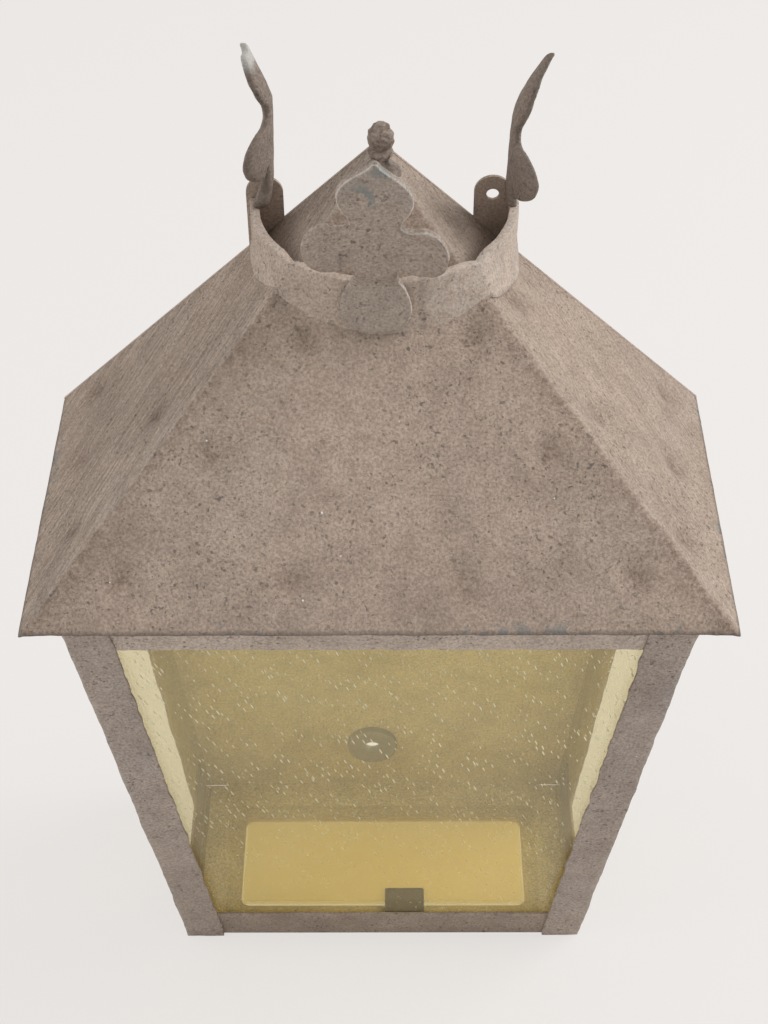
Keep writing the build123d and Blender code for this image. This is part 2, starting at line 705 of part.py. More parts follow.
def centre_contact():
    """Spring strip in the disc's recess, sprung down at its free end."""
    half, sheet, drop = CONTACT_LENGTH / 2, CONTACT_SHEET, CONTACT_SPRING
    profile = Polyline(
        (-half, 0), (-half, -sheet), (-half / 4, -sheet), (half / 2, -drop), (half, -drop),
        (half, sheet - drop), (half / 2, sheet - drop), (0, 0), close=True,
    )
    strip = extrude(Plane.XZ * make_face(profile), CONTACT_WIDTH / 2, both=True)
    return at_holder(sleeve_top() + CONTACT_RECESS_DEPTH) * strip


def earth_screw():
    """Screw for the earth lead, from above through the arm."""
    head = rod(0, -EARTH_Y, BRACKET_Z, BRACKET_Z + EARTH_HEAD_HEIGHT, EARTH_HEAD)
    head = fillet(head.edges().group_by(Axis.Z)[-1], EARTH_HEAD_HEIGHT / 3)
    return head + rod(0, -EARTH_Y, BRACKET_Z - EARTH_SCREW_LENGTH, BRACKET_Z, EARTH_SCREW)


def grommet():
    """Rubber ring: flange inside the back plate, neck flush with the wall face."""
    bore = Circle(GROMMET_BORE / 2)
    flange = extrude(Circle(GROMMET_FLANGE / 2) - bore, GROMMET_THICKNESS)
    flange = fillet(flange.edges().group_by(Axis.Z)[-1].sort_by(SortBy.RADIUS)[-1], GROMMET_THICKNESS / 3)
    neck = extrude(Circle(GROMMET_NECK / 2) - bore, -BACK_SHEET)
    return Plane.XZ.offset(BACK_SHEET) * Pos(GROMMET_X, GROMMET_Z) * (flange + neck)


# Every piece by the name of its node.

def pieces():
    top_low, top_high = BODY_HEIGHT - TOP_RAIL_HEIGHT, BODY_HEIGHT
    made = {
        "back_plate": back_plate(),
        "base_sheet": base_sheet(),
        "top_rail_front": front_rail(top_low, top_high),
        "bottom_rail_front": front_rail(0, BOTTOM_RAIL_HEIGHT),
        "glass_front": glass_front(),
        "glass_base": glass_base(),
        "pane_tab": pane_tab(),
        "pane_tab_rivet": tab_rivet(),
        "roof_front": roof_front(),
        "crown_band": crown_band(),
        "fleur_front": front_fleur(),
        "fleur_right": half_fleur(RIGHT_LIFT, RIGHT_BENDS),
        "fleur_left": mirrored(half_fleur(LEFT_LIFT, LEFT_BENDS)),
        "finial": finial(),
        "holder_bracket": bracket(),
        "holder_nipple": nipple(),
        "nipple_nut_upper": nipple_nut(BRACKET_Z),
        "nipple_nut_lower": nipple_nut(cap_top()),
        "holder_cap": holder_cap(),
        "holder_shell": holder_shell(),
        "screw_sleeve": screw_sleeve(),
        "holder_insulator": insulator(),
        "centre_contact": centre_contact(),
        "earth_screw": earth_screw(),
        "cable_grommet": grommet(),
    }
    pairs = {
        "front_post": front_post(),
        "rear_post": rear_post(),
        "top_rail": side_rail(top_low, top_high),
        "bottom_rail": side_rail(0, BOTTOM_RAIL_HEIGHT),
        "glass": glass_side(),
        "roof": roof_side(),
        "glass_clip_front": front_clip(FRONT_CLIP_OFFSET),
    }
    for name, y in zip(("glass_clip_rear", "glass_clip_middle"), SIDE_CLIP_OFFSETS):
        pairs[name] = side_clip(y)
    for name, piece in pairs.items():
        made[name + "_right"] = piece
        made[name + "_left"] = mirrored(piece)
    for name, z in zip(("lower", "upper"), stud_heights()):
        made["bracket_stud_" + name] = stud(z)
        made["bracket_nut_" + name] = stud_nut(z)
    return made


def main():
    os.makedirs("parts", exist_ok=True)
    centred = Pos(0, ROOF_DEPTH / 2, 0)
    for name, piece in pieces().items():
        placed = centred * Part(piece.solids())
        export_step(placed, os.path.join("parts", name + ".step"))


main()
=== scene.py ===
from math import asin, copysign, cos, exp, hypot, pi, radians, sin, sqrt, tau

import bmesh
import bpy
from mathutils import Matrix, Vector, noise


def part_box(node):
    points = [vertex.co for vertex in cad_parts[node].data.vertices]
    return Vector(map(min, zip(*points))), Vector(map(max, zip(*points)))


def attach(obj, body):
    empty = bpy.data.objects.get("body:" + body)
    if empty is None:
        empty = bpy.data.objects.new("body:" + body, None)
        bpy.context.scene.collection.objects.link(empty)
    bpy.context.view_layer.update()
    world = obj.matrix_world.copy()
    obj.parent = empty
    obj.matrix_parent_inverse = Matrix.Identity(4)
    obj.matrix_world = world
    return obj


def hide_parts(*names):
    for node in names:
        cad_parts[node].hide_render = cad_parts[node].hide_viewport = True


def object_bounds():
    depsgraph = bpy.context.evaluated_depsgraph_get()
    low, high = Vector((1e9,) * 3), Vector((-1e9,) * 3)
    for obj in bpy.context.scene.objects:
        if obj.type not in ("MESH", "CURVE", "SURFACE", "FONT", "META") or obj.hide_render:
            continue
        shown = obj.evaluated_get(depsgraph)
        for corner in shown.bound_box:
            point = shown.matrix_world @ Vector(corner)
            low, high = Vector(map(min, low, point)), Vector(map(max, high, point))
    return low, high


bl_info = {
    "name": "Half Lantern",
    "version": (1, 0, 0),
    "blender": (4, 5, 0),
    "location": "View3D > Sidebar > Lantern",
    "description": "Hammered roof, fleur-de-lis crown, frame, amber panes and lamp holder of a half lantern",
    "category": "Object",
}

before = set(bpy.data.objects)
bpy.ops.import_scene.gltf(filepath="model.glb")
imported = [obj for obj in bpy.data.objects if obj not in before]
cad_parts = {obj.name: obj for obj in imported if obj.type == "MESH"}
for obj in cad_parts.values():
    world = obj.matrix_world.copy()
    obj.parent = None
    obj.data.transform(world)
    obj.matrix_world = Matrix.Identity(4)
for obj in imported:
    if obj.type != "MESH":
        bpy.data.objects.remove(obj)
CAD_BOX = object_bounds()

# The wall face is the plane Y = WALL, the front faces -Y, and the base stands on Z = 0.
WALL = CAD_BOX[1].y
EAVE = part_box("roof_front")[0].z
ROOF_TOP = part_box("roof_left")[1].z
HALF_ROOF = CAD_BOX[1].x
FRONT_EAVE = CAD_BOX[0].y
BAND_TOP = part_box("crown_band")[1].z
BACK_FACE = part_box("back_plate")[0].y
BODY_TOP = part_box("top_rail_front")[1].z

# Dents that the hammer left in the roof, across and forward of the wall.
FRONT_DENTS = ((-29, 65), (38, 65), (-70, 99), (70, 99), (-107, 136), (-37, 136), (36, 137), (107, 135))
LEFT_DENTS = ((-131, 17), (-95, 72), (-133, 63), (-131, 107))
RIGHT_DENTS = ((57, 39), (94, 75), (132, 19), (130, 69), (129, 115))

# Right half of the front leaf's outline, in millimetres across and up from its foot.
LEAF_OUTLINE = (
    (0, 0), (9, 1.2), (13.4, 6), (14.3, 13.5), (12.3, 21), (9.6, 26.5), (8.6, 31), (10.2, 35), (13.5, 33.4),
    (19.8, 33), (25.8, 37), (29, 46.5), (28.6, 53), (24.9, 58.4), (19.8, 59.6), (13.9, 57.8), (10.8, 59),
    (10.8, 62.5), (13.2, 67), (15, 73), (14.3, 79), (11.2, 83.4), (6.5, 87.6), (2.8, 91), (0.9, 93.5),
)

# Half leaf at an end of the band: forward reach from the wall and height above the band.
HALF_OUTLINE = (
    (8.4, 7), (8.8, 12), (9.4, 16.2), (10.8, 14.4), (13.5, 12.4), (17.6, 14.4), (20.4, 20), (20.2, 26), (18, 30.6),
    (13.5, 34.6), (9.2, 36), (7, 38.6), (7.2, 42), (9.2, 46.5), (10.5, 51.5), (9.9, 56.5), (8, 61.5), (5.2, 66),
)
RIGHT_BENDS = ((0, 0), (18, 0), (32, 0.4), (40, 1.1), (46, 2.2), (52, 4.2), (59, 7.9), (66, 12.3), (76, 18.6))
LEFT_BENDS = (
    (0, -3.4), (5, -4.2), (12, -5.2), (20, -5.7), (34, -6.2), (50, -6.4), (57, -4.4), (64, -1.1), (76, 3.6))

# Outline of the ball's collar and neck, out from its axis and down from its middle.
COLLAR = (
    (5.4, 1.6), (5.0, 3.4), (3.9, 4.8), (3.6, 5.6), (4.9, 6.6), (5.4, 7.8), (4.9, 9.0), (3.7, 9.8), (3.6, 11.4),
    (5.6, 13.4), (8.0, 16.0), (9.0, 19.0),
)

# How far the loose base pane lies on the sheet round the opening: at the sides and rear, and at the front.
SIDE_LAP, FRONT_LAP = 0.008, 0.005

STUDIO_WHITE = (1.0, 0.99, 0.98)
BARE_METAL = (0.21, 0.225, 0.215, 1)
RUBBED_PAINT = (0.62, 0.57, 0.51, 1)
# Pale for painted highlights and for pale marks.
HIGHLIGHT_AND_PALE = (0.76, 0.74, 0.69, 1)
# Dark for soot and for painted shade.
SOOT_AND_SHADE = (0.055, 0.045, 0.040, 1)
GREY_DUST = (0.32, 0.28, 0.23, 1)

# Where the camera stands, and its tilt down, turn aside and roll.
EYE = (0.0051, WALL - 0.6492, 0.8549)
EYE_PITCH, EYE_YAW, EYE_ROLL = radians(44.21), radians(-0.32), radians(-0.35)


def mm(value):
    """Millimetres as metres."""
    return value * 0.001


def tone(red, green, blue):
    """An eight-bit colour as a linear one."""
    parts = []
    for part in (red, green, blue):
        part /= 255
        parts.append(part / 12.92 if part <= 0.04045 else ((part + 0.055) / 1.055) ** 2.4)
    return tuple(parts)


def set_up(thing, **values):
    """Sets some of a thing's properties."""
    for key, value in values.items():
        setattr(thing, key, value)
    return thing


def with_alpha(colour):
    return (*colour[:3], 1.0)


def length(name, description, size):
    """A length setting, given in millimetres."""
    return bpy.props.FloatProperty(name=name, description=description, default=mm(size), unit="LENGTH")


def colour(name, description, value):
    """A colour setting."""
    return bpy.props.FloatVectorProperty(
        name=name, description=description, size=3, subtype="COLOR", min=0, max=1, default=value)


class LanternRoofSettings(bpy.types.PropertyGroup):
    """Sizes of the hammered roof sheet."""
    sheet: length("Sheet", "Thickness of the roof sheet", 1.2)
    cell: length("Cell", "Size of the mesh cells", 1.7)
    ridge: length("Ridge", "Length of the ridge in front of the wall", 10)
    hip_round: length("Hip rounding", "How softly the hips are beaten over", 1.6)
    dent_depth: length("Dent depth", "Depth of the hammer's dents", 1.9)
    dent_size: length("Dent size", "Radius of the hammer's dents", 6.0)
    wave: length("Waves", "Height of the sheet's broad waves", 0.7)
    ragged: length("Ragged edge", "How far the eave's edge wanders", 0.5)


class LanternFrameSettings(bpy.types.PropertyGroup):
    """Sizes of the corner angles and rails."""
    sheet: length("Sheet", "Thickness of the frame's sheet", 1.5)
    front_leg: length("Front leg", "Width of the front angles' legs", 20)
    rear_leg: length("Rear leg", "Width of the rear angles' side legs", 26)
    ragged: length("Ragged edge", "How far the angles' edges wander", 0.9)
    uneven: length("Uneven faces", "How far the faces stand in and out", 0.55)
    flare: length("Flare", "How far the front angles spread just below the eave", 5)


class LanternCrownSettings(bpy.types.PropertyGroup):
    """Sizes of the crown band, its leaves and the ball on the roof."""
    radius: length("Radius", "Outer radius of the band", 57.5)
    centre: length("Centre", "Distance of the band's centre from the wall", 5.5)
    band: length("Band", "Thickness of the band", 4)
    filler: length("Filler", "How far the filler spreads over the hips", 7)
    shift: length("Shift", "How far the crown sits to the right of the middle", 2.4)
    plate: length("Plate", "Thickness of the leaves", 3.3)
    rim: length("Rim", "Rounding of the leaves' rims", 0.8)
    cup: length("Cup", "How far the lobes curl outward", 5)
    front_lean: bpy.props.FloatProperty(
        name="Front lean", description="Outward lean of the front leaf", default=radians(12), subtype="ANGLE")
    slant: bpy.props.FloatProperty(
        name="Slant", description="How much the front leaf drops to the right", default=0.09)
    curl_radius: length("Curl radius", "Plan radius of the half leaves", 31)
    inner: length("Half leaves", "Half of the distance between the half leaves", 52)
    lift: length("Lift", "How much higher the left leaf's lobe stands than the right's, halved", 5)
    ball: length("Ball", "Diameter of the ball", 11)


class LanternGlassSettings(bpy.types.PropertyGroup):
    """Tints and seeds of the panes."""
    tint: colour("Tint", "Colour of the upright panes, one face", (0.99, 0.972, 0.885))
    base_tint: colour("Base tint", "Colour of the loose base pane, one face", (0.985, 0.91, 0.52))
    haze: bpy.props.FloatProperty(
        name="Haze", description="Dust on the panes", default=0.085, min=0, max=1, subtype="FACTOR")
    seeds: bpy.props.FloatProperty(
        name="Seeds", description="Streaks and seeds to the metre", default=260.0, min=0)


class LanternFinishSettings(bpy.types.PropertyGroup):
    """Colours of the paint and of the metals."""
    roof: colour("Roof paint", "Colour of the roof", tone(190, 172, 157))
    crown: colour("Crown paint", "Colour of the crown", tone(182, 166, 153))
    angle: colour("Frame paint", "Colour of the frame", tone(180, 165, 154))
    # Painted light: the top rails' colour is the frame paint made lighter, and the bottom rails' colour is made
    # darker, for the light on them.
    top_rail: colour("Top rail paint", "Colour of the top rails", tone(204, 187, 174))
    bottom_rail: colour("Bottom rail paint", "Colour of the bottom rails", tone(172, 155, 141))
    # Painted light: a pale amber that stands for the amber light inside the panes, over an inner paint taken as paler
    # than the outer.
    inside: colour("Inside paint", "Colour of the back plate's inner face", tone(244, 226, 166))
    brass: colour("Brass", "Colour of the sleeve, contact and earth screw", (0.62, 0.45, 0.19))
    steel: colour("Steel", "Colour of the bracket and nuts", (0.48, 0.47, 0.45))
    holder: colour("Holder", "Colour of the lamp holder", (0.028, 0.026, 0.024))
    floor: colour("Floor", "Colour of the floor", tone(246, 246, 245))


# Materials.

def fresh_tree(name):
    """An empty node tree of a new material."""
    tree = set_up(bpy.data.materials.new(name), use_nodes=True).node_tree
    tree.nodes.clear()
    return tree


def surfaced(name, tree, surface):
    """Ends the tree of a named material with its surface, and gives the material."""
    put(tree, "OutputMaterial", {"Surface": surface})
    return bpy.data.materials[name]


def feed(tree, socket, value):
    """Gives an input a value, or links it to another node's socket or first output."""
    if isinstance(value, bpy.types.Node):
        value = value.outputs[0]
    if isinstance(value, bpy.types.NodeSocket):
        tree.links.new(value, socket)
    else:
        socket.default_value = value


def put(tree, kind, inputs=None, **settings):
    """Adds a shader node."""
    made = set_up(tree.nodes.new("ShaderNode" + kind), **settings)
    for key, value in (inputs or {}).items():
        feed(tree, made.inputs[key], value)
    return made


def place(tree, scale=(1, 1, 1), shift=(0, 0, 0)):
    """Object coordinates, stretched and moved."""
    at = put(tree, "TexCoord").outputs["Object"]
    return put(tree, "Mapping", {"Vector": at, "Scale": scale, "Location": shift})


def cloudy(tree, at, scale, detail=3.0, rough=0.55, low=0.35, high=0.65):
    """Noise stretched to run from 0 to 1 between two of its values."""
    field = put(tree, "TexNoise", {"Vector": at, "Scale": scale, "Detail": detail, "Roughness": rough})
    return put(tree, "MapRange", {"Value": field, "From Min": low, "From Max": high})


def span(tree, value, low, high):
    """Stretches a value between 0 and 1 to run between two others."""
    return put(tree, "MapRange", {"Value": value, "To Min": low, "To Max": high})


def sums(tree, operation, *parts):
    """Arithmetic on values or nodes."""
    return put(tree, "Math", dict(enumerate(parts)), operation=operation)


def times(tree, first, second):
    return sums(tree, "MULTIPLY", first, second)


def plus(tree, first, second):
    return sums(tree, "ADD", first, second)


def most(tree, first, second):
    return sums(tree, "MAXIMUM", first, second)


def stored(tree, name):
    """A value that the mesh holds for each vertex."""
    return put(tree, "Attribute", attribute_name=name).outputs["Fac"]


def blend(tree, factor, first, second, kind="MIX"):
    """Mixes two colours."""
    mix = put(tree, "Mix", data_type="RGBA", blend_type=kind)
    for index, value in ((0, factor), (6, first), (7, second)):
        feed(tree, mix.inputs[index], value)
    return mix.outputs[2]


def laid(tree, shade, field, share, tint, kind="MIX"):
    """Lays a share of a tint over a shade."""
    return blend(tree, times(tree, field, share), shade, tint, kind)


def spots(tree, at, scale, size, share, soft=0.35, dimensions="3D"):
    """Round spots in a share of the cells, from 0 outside to 1 within."""
    cells = put(tree, "TexVoronoi", {"Vector": at, "Scale": scale}, voronoi_dimensions=dimensions)
    lot = put(tree, "SeparateColor", {"Color": cells.outputs["Color"]})
    chosen = sums(tree, "LESS_THAN", lot.outputs["Red"], share)
    reach = sums(tree, "MULTIPLY_ADD", lot.outputs["Green"], size * 0.6, size * 0.5)
    inner = times(tree, reach, 1 - soft)
    round_spot = put(tree, "MapRange", {
        "Value": cells, "From Min": reach, "From Max": inner, "To Min": 0.0, "To Max": 1.0})
    return times(tree, round_spot, chosen)


def hairlines(tree, at, scale, width, share):
    """Thin wandering cracks, in patches."""
    swirl = put(tree, "TexNoise", {"Vector": at, "Scale": scale * 2.2, "Detail": 3.0})
    bent = put(tree, "VectorMath", {0: swirl.outputs["Color"], 1: (0.05, 0.05, 0.05)}, operation="MULTIPLY")
    there = put(tree, "VectorMath", {0: at, 1: bent}, operation="ADD")
    edges = put(tree, "TexVoronoi", {"Vector": there, "Scale": scale}, feature="DISTANCE_TO_EDGE")
    crack = put(tree, "MapRange", {"Value": edges, "From Min": width, "From Max": 0.0})
    patch = cloudy(tree, at, scale * 0.8, low=1 - share, high=1 - share + 0.08)
    return times(tree, crack, patch)


def old_paint(name, colour, gain=1.0, grain=None, pits=1.0, worn=0.3, cool=0.12, outer=None):
    """Matte paint with a sandy grain, dark pits, hairline cracks and pale specks.

    The attributes worn, soiled, chipped, bright, sooty and grained say where the paint is rubbed pale; holds grime,
    with painted shade in the roof's dents and along its hips; is chipped to the metal; carries painted highlights and
    pale marks; darkens with soot and painted shade; and shows the brush. An outer colour takes over above the eave
    and behind the back plate's inner face.
    """
    tree = fresh_tree(name)
    at = place(tree)
    base = with_alpha(tuple(part * gain for part in colour))
    if outer:
        axes = put(tree, "SeparateXYZ", {"Vector": at}).outputs
        behind = sums(tree, "GREATER_THAN", axes["Y"], BACK_FACE + mm(0.2))
        outside = most(tree, sums(tree, "GREATER_THAN", axes["Z"], EAVE), behind)
        base = blend(tree, outside, base, with_alpha(getattr(bpy.context.scene.lantern_finish, outer)))
    light = (1.13, 1.13, 1.12, 1.0)
    dark = (0.62, 0.595, 0.58, 1.0)
    cold = (0.88, 0.96, 1.06, 1.0)
    shade = laid(tree, base, cloudy(tree, at, 15.0, low=0.40, high=0.70), 0.55, light, "MULTIPLY")
    broad = cloudy(tree, place(tree, shift=(3, 1, 7)), 30.0, detail=4.0, low=0.46, high=0.74)
    shade = laid(tree, shade, broad, 0.42, dark, "MULTIPLY")
    washed = cloudy(tree, place(tree, shift=(9, 4, 2)), 12.0, low=0.52, high=0.75)
    shade = laid(tree, shade, washed, cool * 4, cold, "MULTIPLY")
    sand = cloudy(tree, at, 820.0, detail=2.0, rough=0.7, low=0.35, high=0.65)
    shade = laid(tree, shade, sand, 0.85, dark, "MULTIPLY")
    middling = cloudy(tree, place(tree, shift=(6, 3, 9)), 95.0, detail=3.0, low=0.40, high=0.66)
    shade = laid(tree, shade, middling, 0.30, dark, "MULTIPLY")
    height = times(tree, sand, -0.22)
    if grain:
        axes = put(tree, "SeparateXYZ", {"Vector": at}).outputs
        along = sums(tree, "MULTIPLY_ADD", sums(tree, "ABSOLUTE", axes["X"], 0.0), grain, axes["Y"])
        flow = put(tree, "CombineXYZ", {
            "X": times(tree, axes["X"], 0.08), "Y": along, "Z": times(tree, axes["Z"], 0.08)})
        strokes = cloudy(tree, flow, 520.0, detail=2.0, low=0.36, high=0.64)
        strokes = times(tree, strokes, stored(tree, "grained"))
        shade = laid(tree, shade, strokes, 0.75, dark, "MULTIPLY")
        height = plus(tree, height, times(tree, strokes, -0.20))
    fine = cloudy(tree, place(tree, shift=(4, 7, 1)), 900.0, detail=2.0, rough=0.6, low=0.60, high=0.67)
    larger = cloudy(tree, place(tree, shift=(5, 2, 8)), 430.0, detail=2.0, rough=0.5, low=0.645, high=0.70)
    dots = spots(tree, at, 330.0, 0.26, 0.16)
    where = cloudy(tree, place(tree, shift=(2, 2, 5)), 19.0, detail=2.0, low=0.30, high=0.62)
    where = span(tree, where, 0.45, 1.0)
    holes = most(tree, most(tree, times(tree, fine, 0.6), larger), dots)
    holes = times(tree, holes, times(tree, where, pits))
    # Grime, with painted shade in the roof's dents and along its hips, broken up by the grit.
    soiled = stored(tree, "soiled")
    grit = cloudy(tree, place(tree, shift=(8, 8, 3)), 330.0, detail=4.0, rough=0.7, low=0.40, high=0.56)
    dirt_and_shade = times(tree, soiled, span(tree, grit, 0.25, 1.0))
    crack = hairlines(tree, at, 36.0, 0.012, 0.34)
    marks = most(tree, holes, times(tree, crack, 0.8))
    shade = laid(tree, shade, dirt_and_shade, 0.75, (0.50, 0.45, 0.42, 1), "MULTIPLY")
    shade = laid(tree, shade, marks, 0.66, (0.10, 0.084, 0.074, 1))
    flecks = spots(tree, place(tree, shift=(1, 6, 3)), 125.0, 0.06, 0.10, soft=0.2)
    shade = blend(tree, flecks, shade, (0.80, 0.78, 0.74, 1))
    rubbed = times(tree, stored(tree, "worn"), cloudy(tree, at, 150.0, low=0.34, high=0.62))
    shade = laid(tree, shade, rubbed, worn, RUBBED_PAINT)
    bare = times(tree, stored(tree, "chipped"), cloudy(tree, at, 170.0, low=0.48, high=0.54))
    shade = laid(tree, shade, bare, 0.8, BARE_METAL)
    # Painted highlights and pale marks.
    shade = blend(tree, stored(tree, "bright"), shade, HIGHLIGHT_AND_PALE)
    # Soot and painted shade darken the paint.
    shade = laid(tree, shade, stored(tree, "sooty"), 0.75, SOOT_AND_SHADE)
    height = plus(tree, height, times(tree, marks, -0.45))
    dented = put(tree, "Bump", {"Height": height, "Strength": 0.8, "Distance": 0.0007})
    rough = span(tree, sand, 0.76, 0.92)
    skin = put(tree, "BsdfPrincipled", {
        "Base Color": shade, "Roughness": rough, "Normal": dented, "Specular IOR Level": 0.25})
    return surfaced(name, tree, skin)


def seeded_glass(name, tint, dusty=1.0, streaks=1.0, slant=0.0, milky=0.0):
    """Clear tinted pane with slanting streaks, small seeds and a film of dust. The streaks and seeds are pale
    translucent and matte specks that stand for the light they catch: painted highlights.

    The loose base pane is milky too, and its tint and milkiness keep to the opening under it.
    """
    look = bpy.context.scene.lantern_glass
    haze, seeds = look.haze * dusty, look.seeds
    tree = fresh_tree(name)
    at = place(tree)
    axes = put(tree, "SeparateXYZ", {"Vector": at}).outputs
    sheet = put(tree, "CombineXYZ", {"X": plus(tree, axes["X"], axes["Y"]), "Y": axes["Z"]})
    turned = put(tree, "Mapping", {"Vector": sheet, "Rotation": (0, 0, slant)})
    slanted = put(tree, "Mapping", {"Vector": turned, "Scale": (1.0, 0.17, 1.0)})
    lines = spots(tree, slanted, seeds, 0.115, 0.9, soft=0.4, dimensions="2D")
    dots = spots(tree, sheet, seeds * 0.7, 0.10, 0.20, soft=0.3, dimensions="2D")
    upper = put(tree, "MapRange", {"Value": axes["Z"], "From Min": 0.04, "From Max": 0.17, "To Min": 0.2})
    patch = cloudy(tree, at, 24.0, low=0.20, high=0.50)
    share = times(tree, upper, patch)
    marks = most(tree, times(tree, lines, share), times(tree, dots, 0.6))
    marks = times(tree, marks, streaks)
    ripple = cloudy(tree, at, 38.0, detail=2.0, low=0.2, high=0.8)
    wavy = put(tree, "Bump", {"Height": plus(tree, ripple, marks), "Strength": 0.25, "Distance": 0.0008})
    film = cloudy(tree, at, 16.0, detail=4.0, low=0.3, high=0.8)
    film = span(tree, film, haze * 0.6, haze * 1.5)
    colour = with_alpha(tint)
    if milky:
        low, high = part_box("glass_base")
        half, front, rear = high.x - SIDE_LAP, low.y + FRONT_LAP, high.y - SIDE_LAP
        inner = 1.0
        for place_at, low, high in (
                (sums(tree, "ABSOLUTE", axes["X"], 0.0), half + mm(1), half - mm(2)),
                (axes["Y"], front - mm(1), front + mm(2)), (axes["Y"], rear + mm(1), rear - mm(2))):
            reach = put(tree, "MapRange", {"Value": place_at, "From Min": low, "From Max": high})
            inner = reach if inner == 1.0 else times(tree, inner, reach)
        colour = blend(tree, inner, with_alpha(look.tint), colour)
        milky = times(tree, inner, milky)
    clear = put(tree, "BsdfTransparent", {"Color": colour})
    gloss = put(tree, "BsdfGlossy", {"Color": (1, 1, 1, 1), "Roughness": 0.06, "Normal": wavy})
    facing = put(tree, "LayerWeight", {"Blend": 0.5}).outputs["Facing"]
    bounce = sums(tree, "MULTIPLY_ADD", sums(tree, "POWER", facing, 5.0), 0.25, 0.04)
    pane = put(tree, "MixShader", {0: bounce, 1: clear, 2: gloss})
    if milky:
        glow = put(tree, "BsdfTranslucent", {"Color": (1.0, 0.84, 0.42, 1)})
        scatter = put(tree, "BsdfDiffuse", {"Color": (1.0, 0.77, 0.33, 1)})
        opal = put(tree, "MixShader", {0: 0.75, 1: glow, 2: scatter})
        pane = put(tree, "MixShader", {0: milky, 1: pane, 2: opal})
    dust = put(tree, "BsdfDiffuse", {"Color": (0.86, 0.76, 0.50, 1)})
    hazy = put(tree, "MixShader", {0: film, 1: pane, 2: dust})
    # Painted highlights: a pale translucent and matte mix that stands for the glints of the streaks and seeds.
    lit = put(tree, "BsdfTranslucent", {"Color": (1.0, 0.94, 0.72, 1)})
    glint_matte = put(tree, "BsdfDiffuse", {"Color": (1.0, 0.94, 0.74, 1)})
    bright = put(tree, "MixShader", {0: 0.5, 1: lit, 2: glint_matte})
    done = put(tree, "MixShader", {0: marks, 1: hazy, 2: bright})
    return surfaced(name, tree, done)


def metal(name, colour, tarnish, rough=0.34):
    """Drawn metal with fine scratches and tarnish."""
    tree = fresh_tree(name)
    at = place(tree)
    scratches = cloudy(tree, place(tree, scale=(1, 1, 0.06)), 900.0, detail=2.0)
    dull = cloudy(tree, at, 70.0, detail=4.0, low=0.42, high=0.68)
    worn = spots(tree, at, 260.0, 0.2, 0.25)
    shade = laid(tree, with_alpha(colour), dull, 0.6, with_alpha(tarnish))
    shade = laid(tree, shade, worn, 0.4, (0.10, 0.08, 0.06, 1))
    height = plus(tree, times(tree, scratches, 0.3), times(tree, worn, -0.5))
    scored = put(tree, "Bump", {"Height": height, "Strength": 0.4, "Distance": 0.0003})
    gloss = span(tree, dull, rough, rough + 0.25)
    skin = put(tree, "BsdfPrincipled", {
        "Base Color": shade, "Roughness": gloss, "Metallic": 1.0, "Normal": scored})
    return surfaced(name, tree, skin)


def moulded(name, colour, grain, rough, dusty):
    """Moulded plastic, rubber or ceramic with a fine grain and some dust."""
    tree = fresh_tree(name)
    at = place(tree)
    fine = cloudy(tree, at, grain, detail=2.0, low=0.3, high=0.7)
    dust = cloudy(tree, at, 55.0, detail=4.0, low=0.48, high=0.72)
    shade = laid(tree, with_alpha(colour), dust, dusty, GREY_DUST)
    dots = spots(tree, at, 420.0, 0.2, 0.2)
    shade = laid(tree, shade, dots, 0.35, tuple(part * 0.5 for part in colour) + (1.0,))
    pebbled = put(tree, "Bump", {"Height": fine, "Strength": 0.35, "Distance": 0.0003})
    gloss = span(tree, dust, rough, min(1.0, rough + 0.3))
    skin = put(tree, "BsdfPrincipled", {
        "Base Color": shade, "Roughness": gloss, "Normal": pebbled, "Specular IOR Level": 0.4})
    return surfaced(name, tree, skin)


# How each finish is made: by what, with which setting's colour or which colour, and with what else.
FINISHES = {
    "roof_coat": (old_paint, "roof", {"grain": 1.3, "cool": 0.05}),
    "crown_coat": (old_paint, "crown", {"worn": 0.45, "cool": 0.22}),
    # Painted light: the band's paint is the crown paint made 1.22 times lighter.
    "band_coat": (old_paint, "crown", {"gain": 1.22, "worn": 0.45, "cool": 0.1}),
    "frame_coat": (old_paint, "angle", {"pits": 1.1, "worn": 0.4, "cool": 0.2}),
    # Painted light: the top rails wear a lighter copy of the frame paint, and the bottom rails a darker one.
    "top_rail_coat": (old_paint, "top_rail", {"pits": 1.1, "cool": 0.1}),
    "bottom_rail_coat": (old_paint, "bottom_rail", {"pits": 1.1, "cool": 0.1}),
    # Painted light: the inside paint is pale amber for the amber light inside the panes.
    "inside_coat": (old_paint, "inside", {"pits": 0.5, "worn": 0.2, "cool": 0.05, "outer": "roof"}),
    "upright_pane": (seeded_glass, "tint", {"slant": radians(-24)}),
    "base_pane": (seeded_glass, "base_tint", {"dusty": 0.5, "streaks": 0.12, "milky": 0.4}),
    "dull_brass": (metal, "brass", {"tarnish": (0.22, 0.15, 0.07)}),
    "worn_steel": (metal, "steel", {"tarnish": (0.30, 0.28, 0.25), "rough": 0.42}),
    "dark_tin": (metal, (0.21, 0.165, 0.08), {"tarnish": (0.11, 0.085, 0.04), "rough": 0.5}),
    "holder_black": (moulded, "holder", {"grain": 1500.0, "rough": 0.38, "dusty": 0.25}),
    "insulator_white": (moulded, (0.72, 0.68, 0.60), {"grain": 900.0, "rough": 0.55, "dusty": 0.2}),
    "ring_rubber": (moulded, (0.40, 0.35, 0.22), {"grain": 1200.0, "rough": 0.8, "dusty": 0.6}),
}


def coat(name):
    """A finish by its name, made on first use."""
    make, colour, options = FINISHES[name]
    if isinstance(colour, str):
        scene = bpy.context.scene
        colour = getattr(scene.lantern_glass if make is seeded_glass else scene.lantern_finish, colour)
    return bpy.data.materials.get(name) or make(name, colour, **options)


# Making pieces.

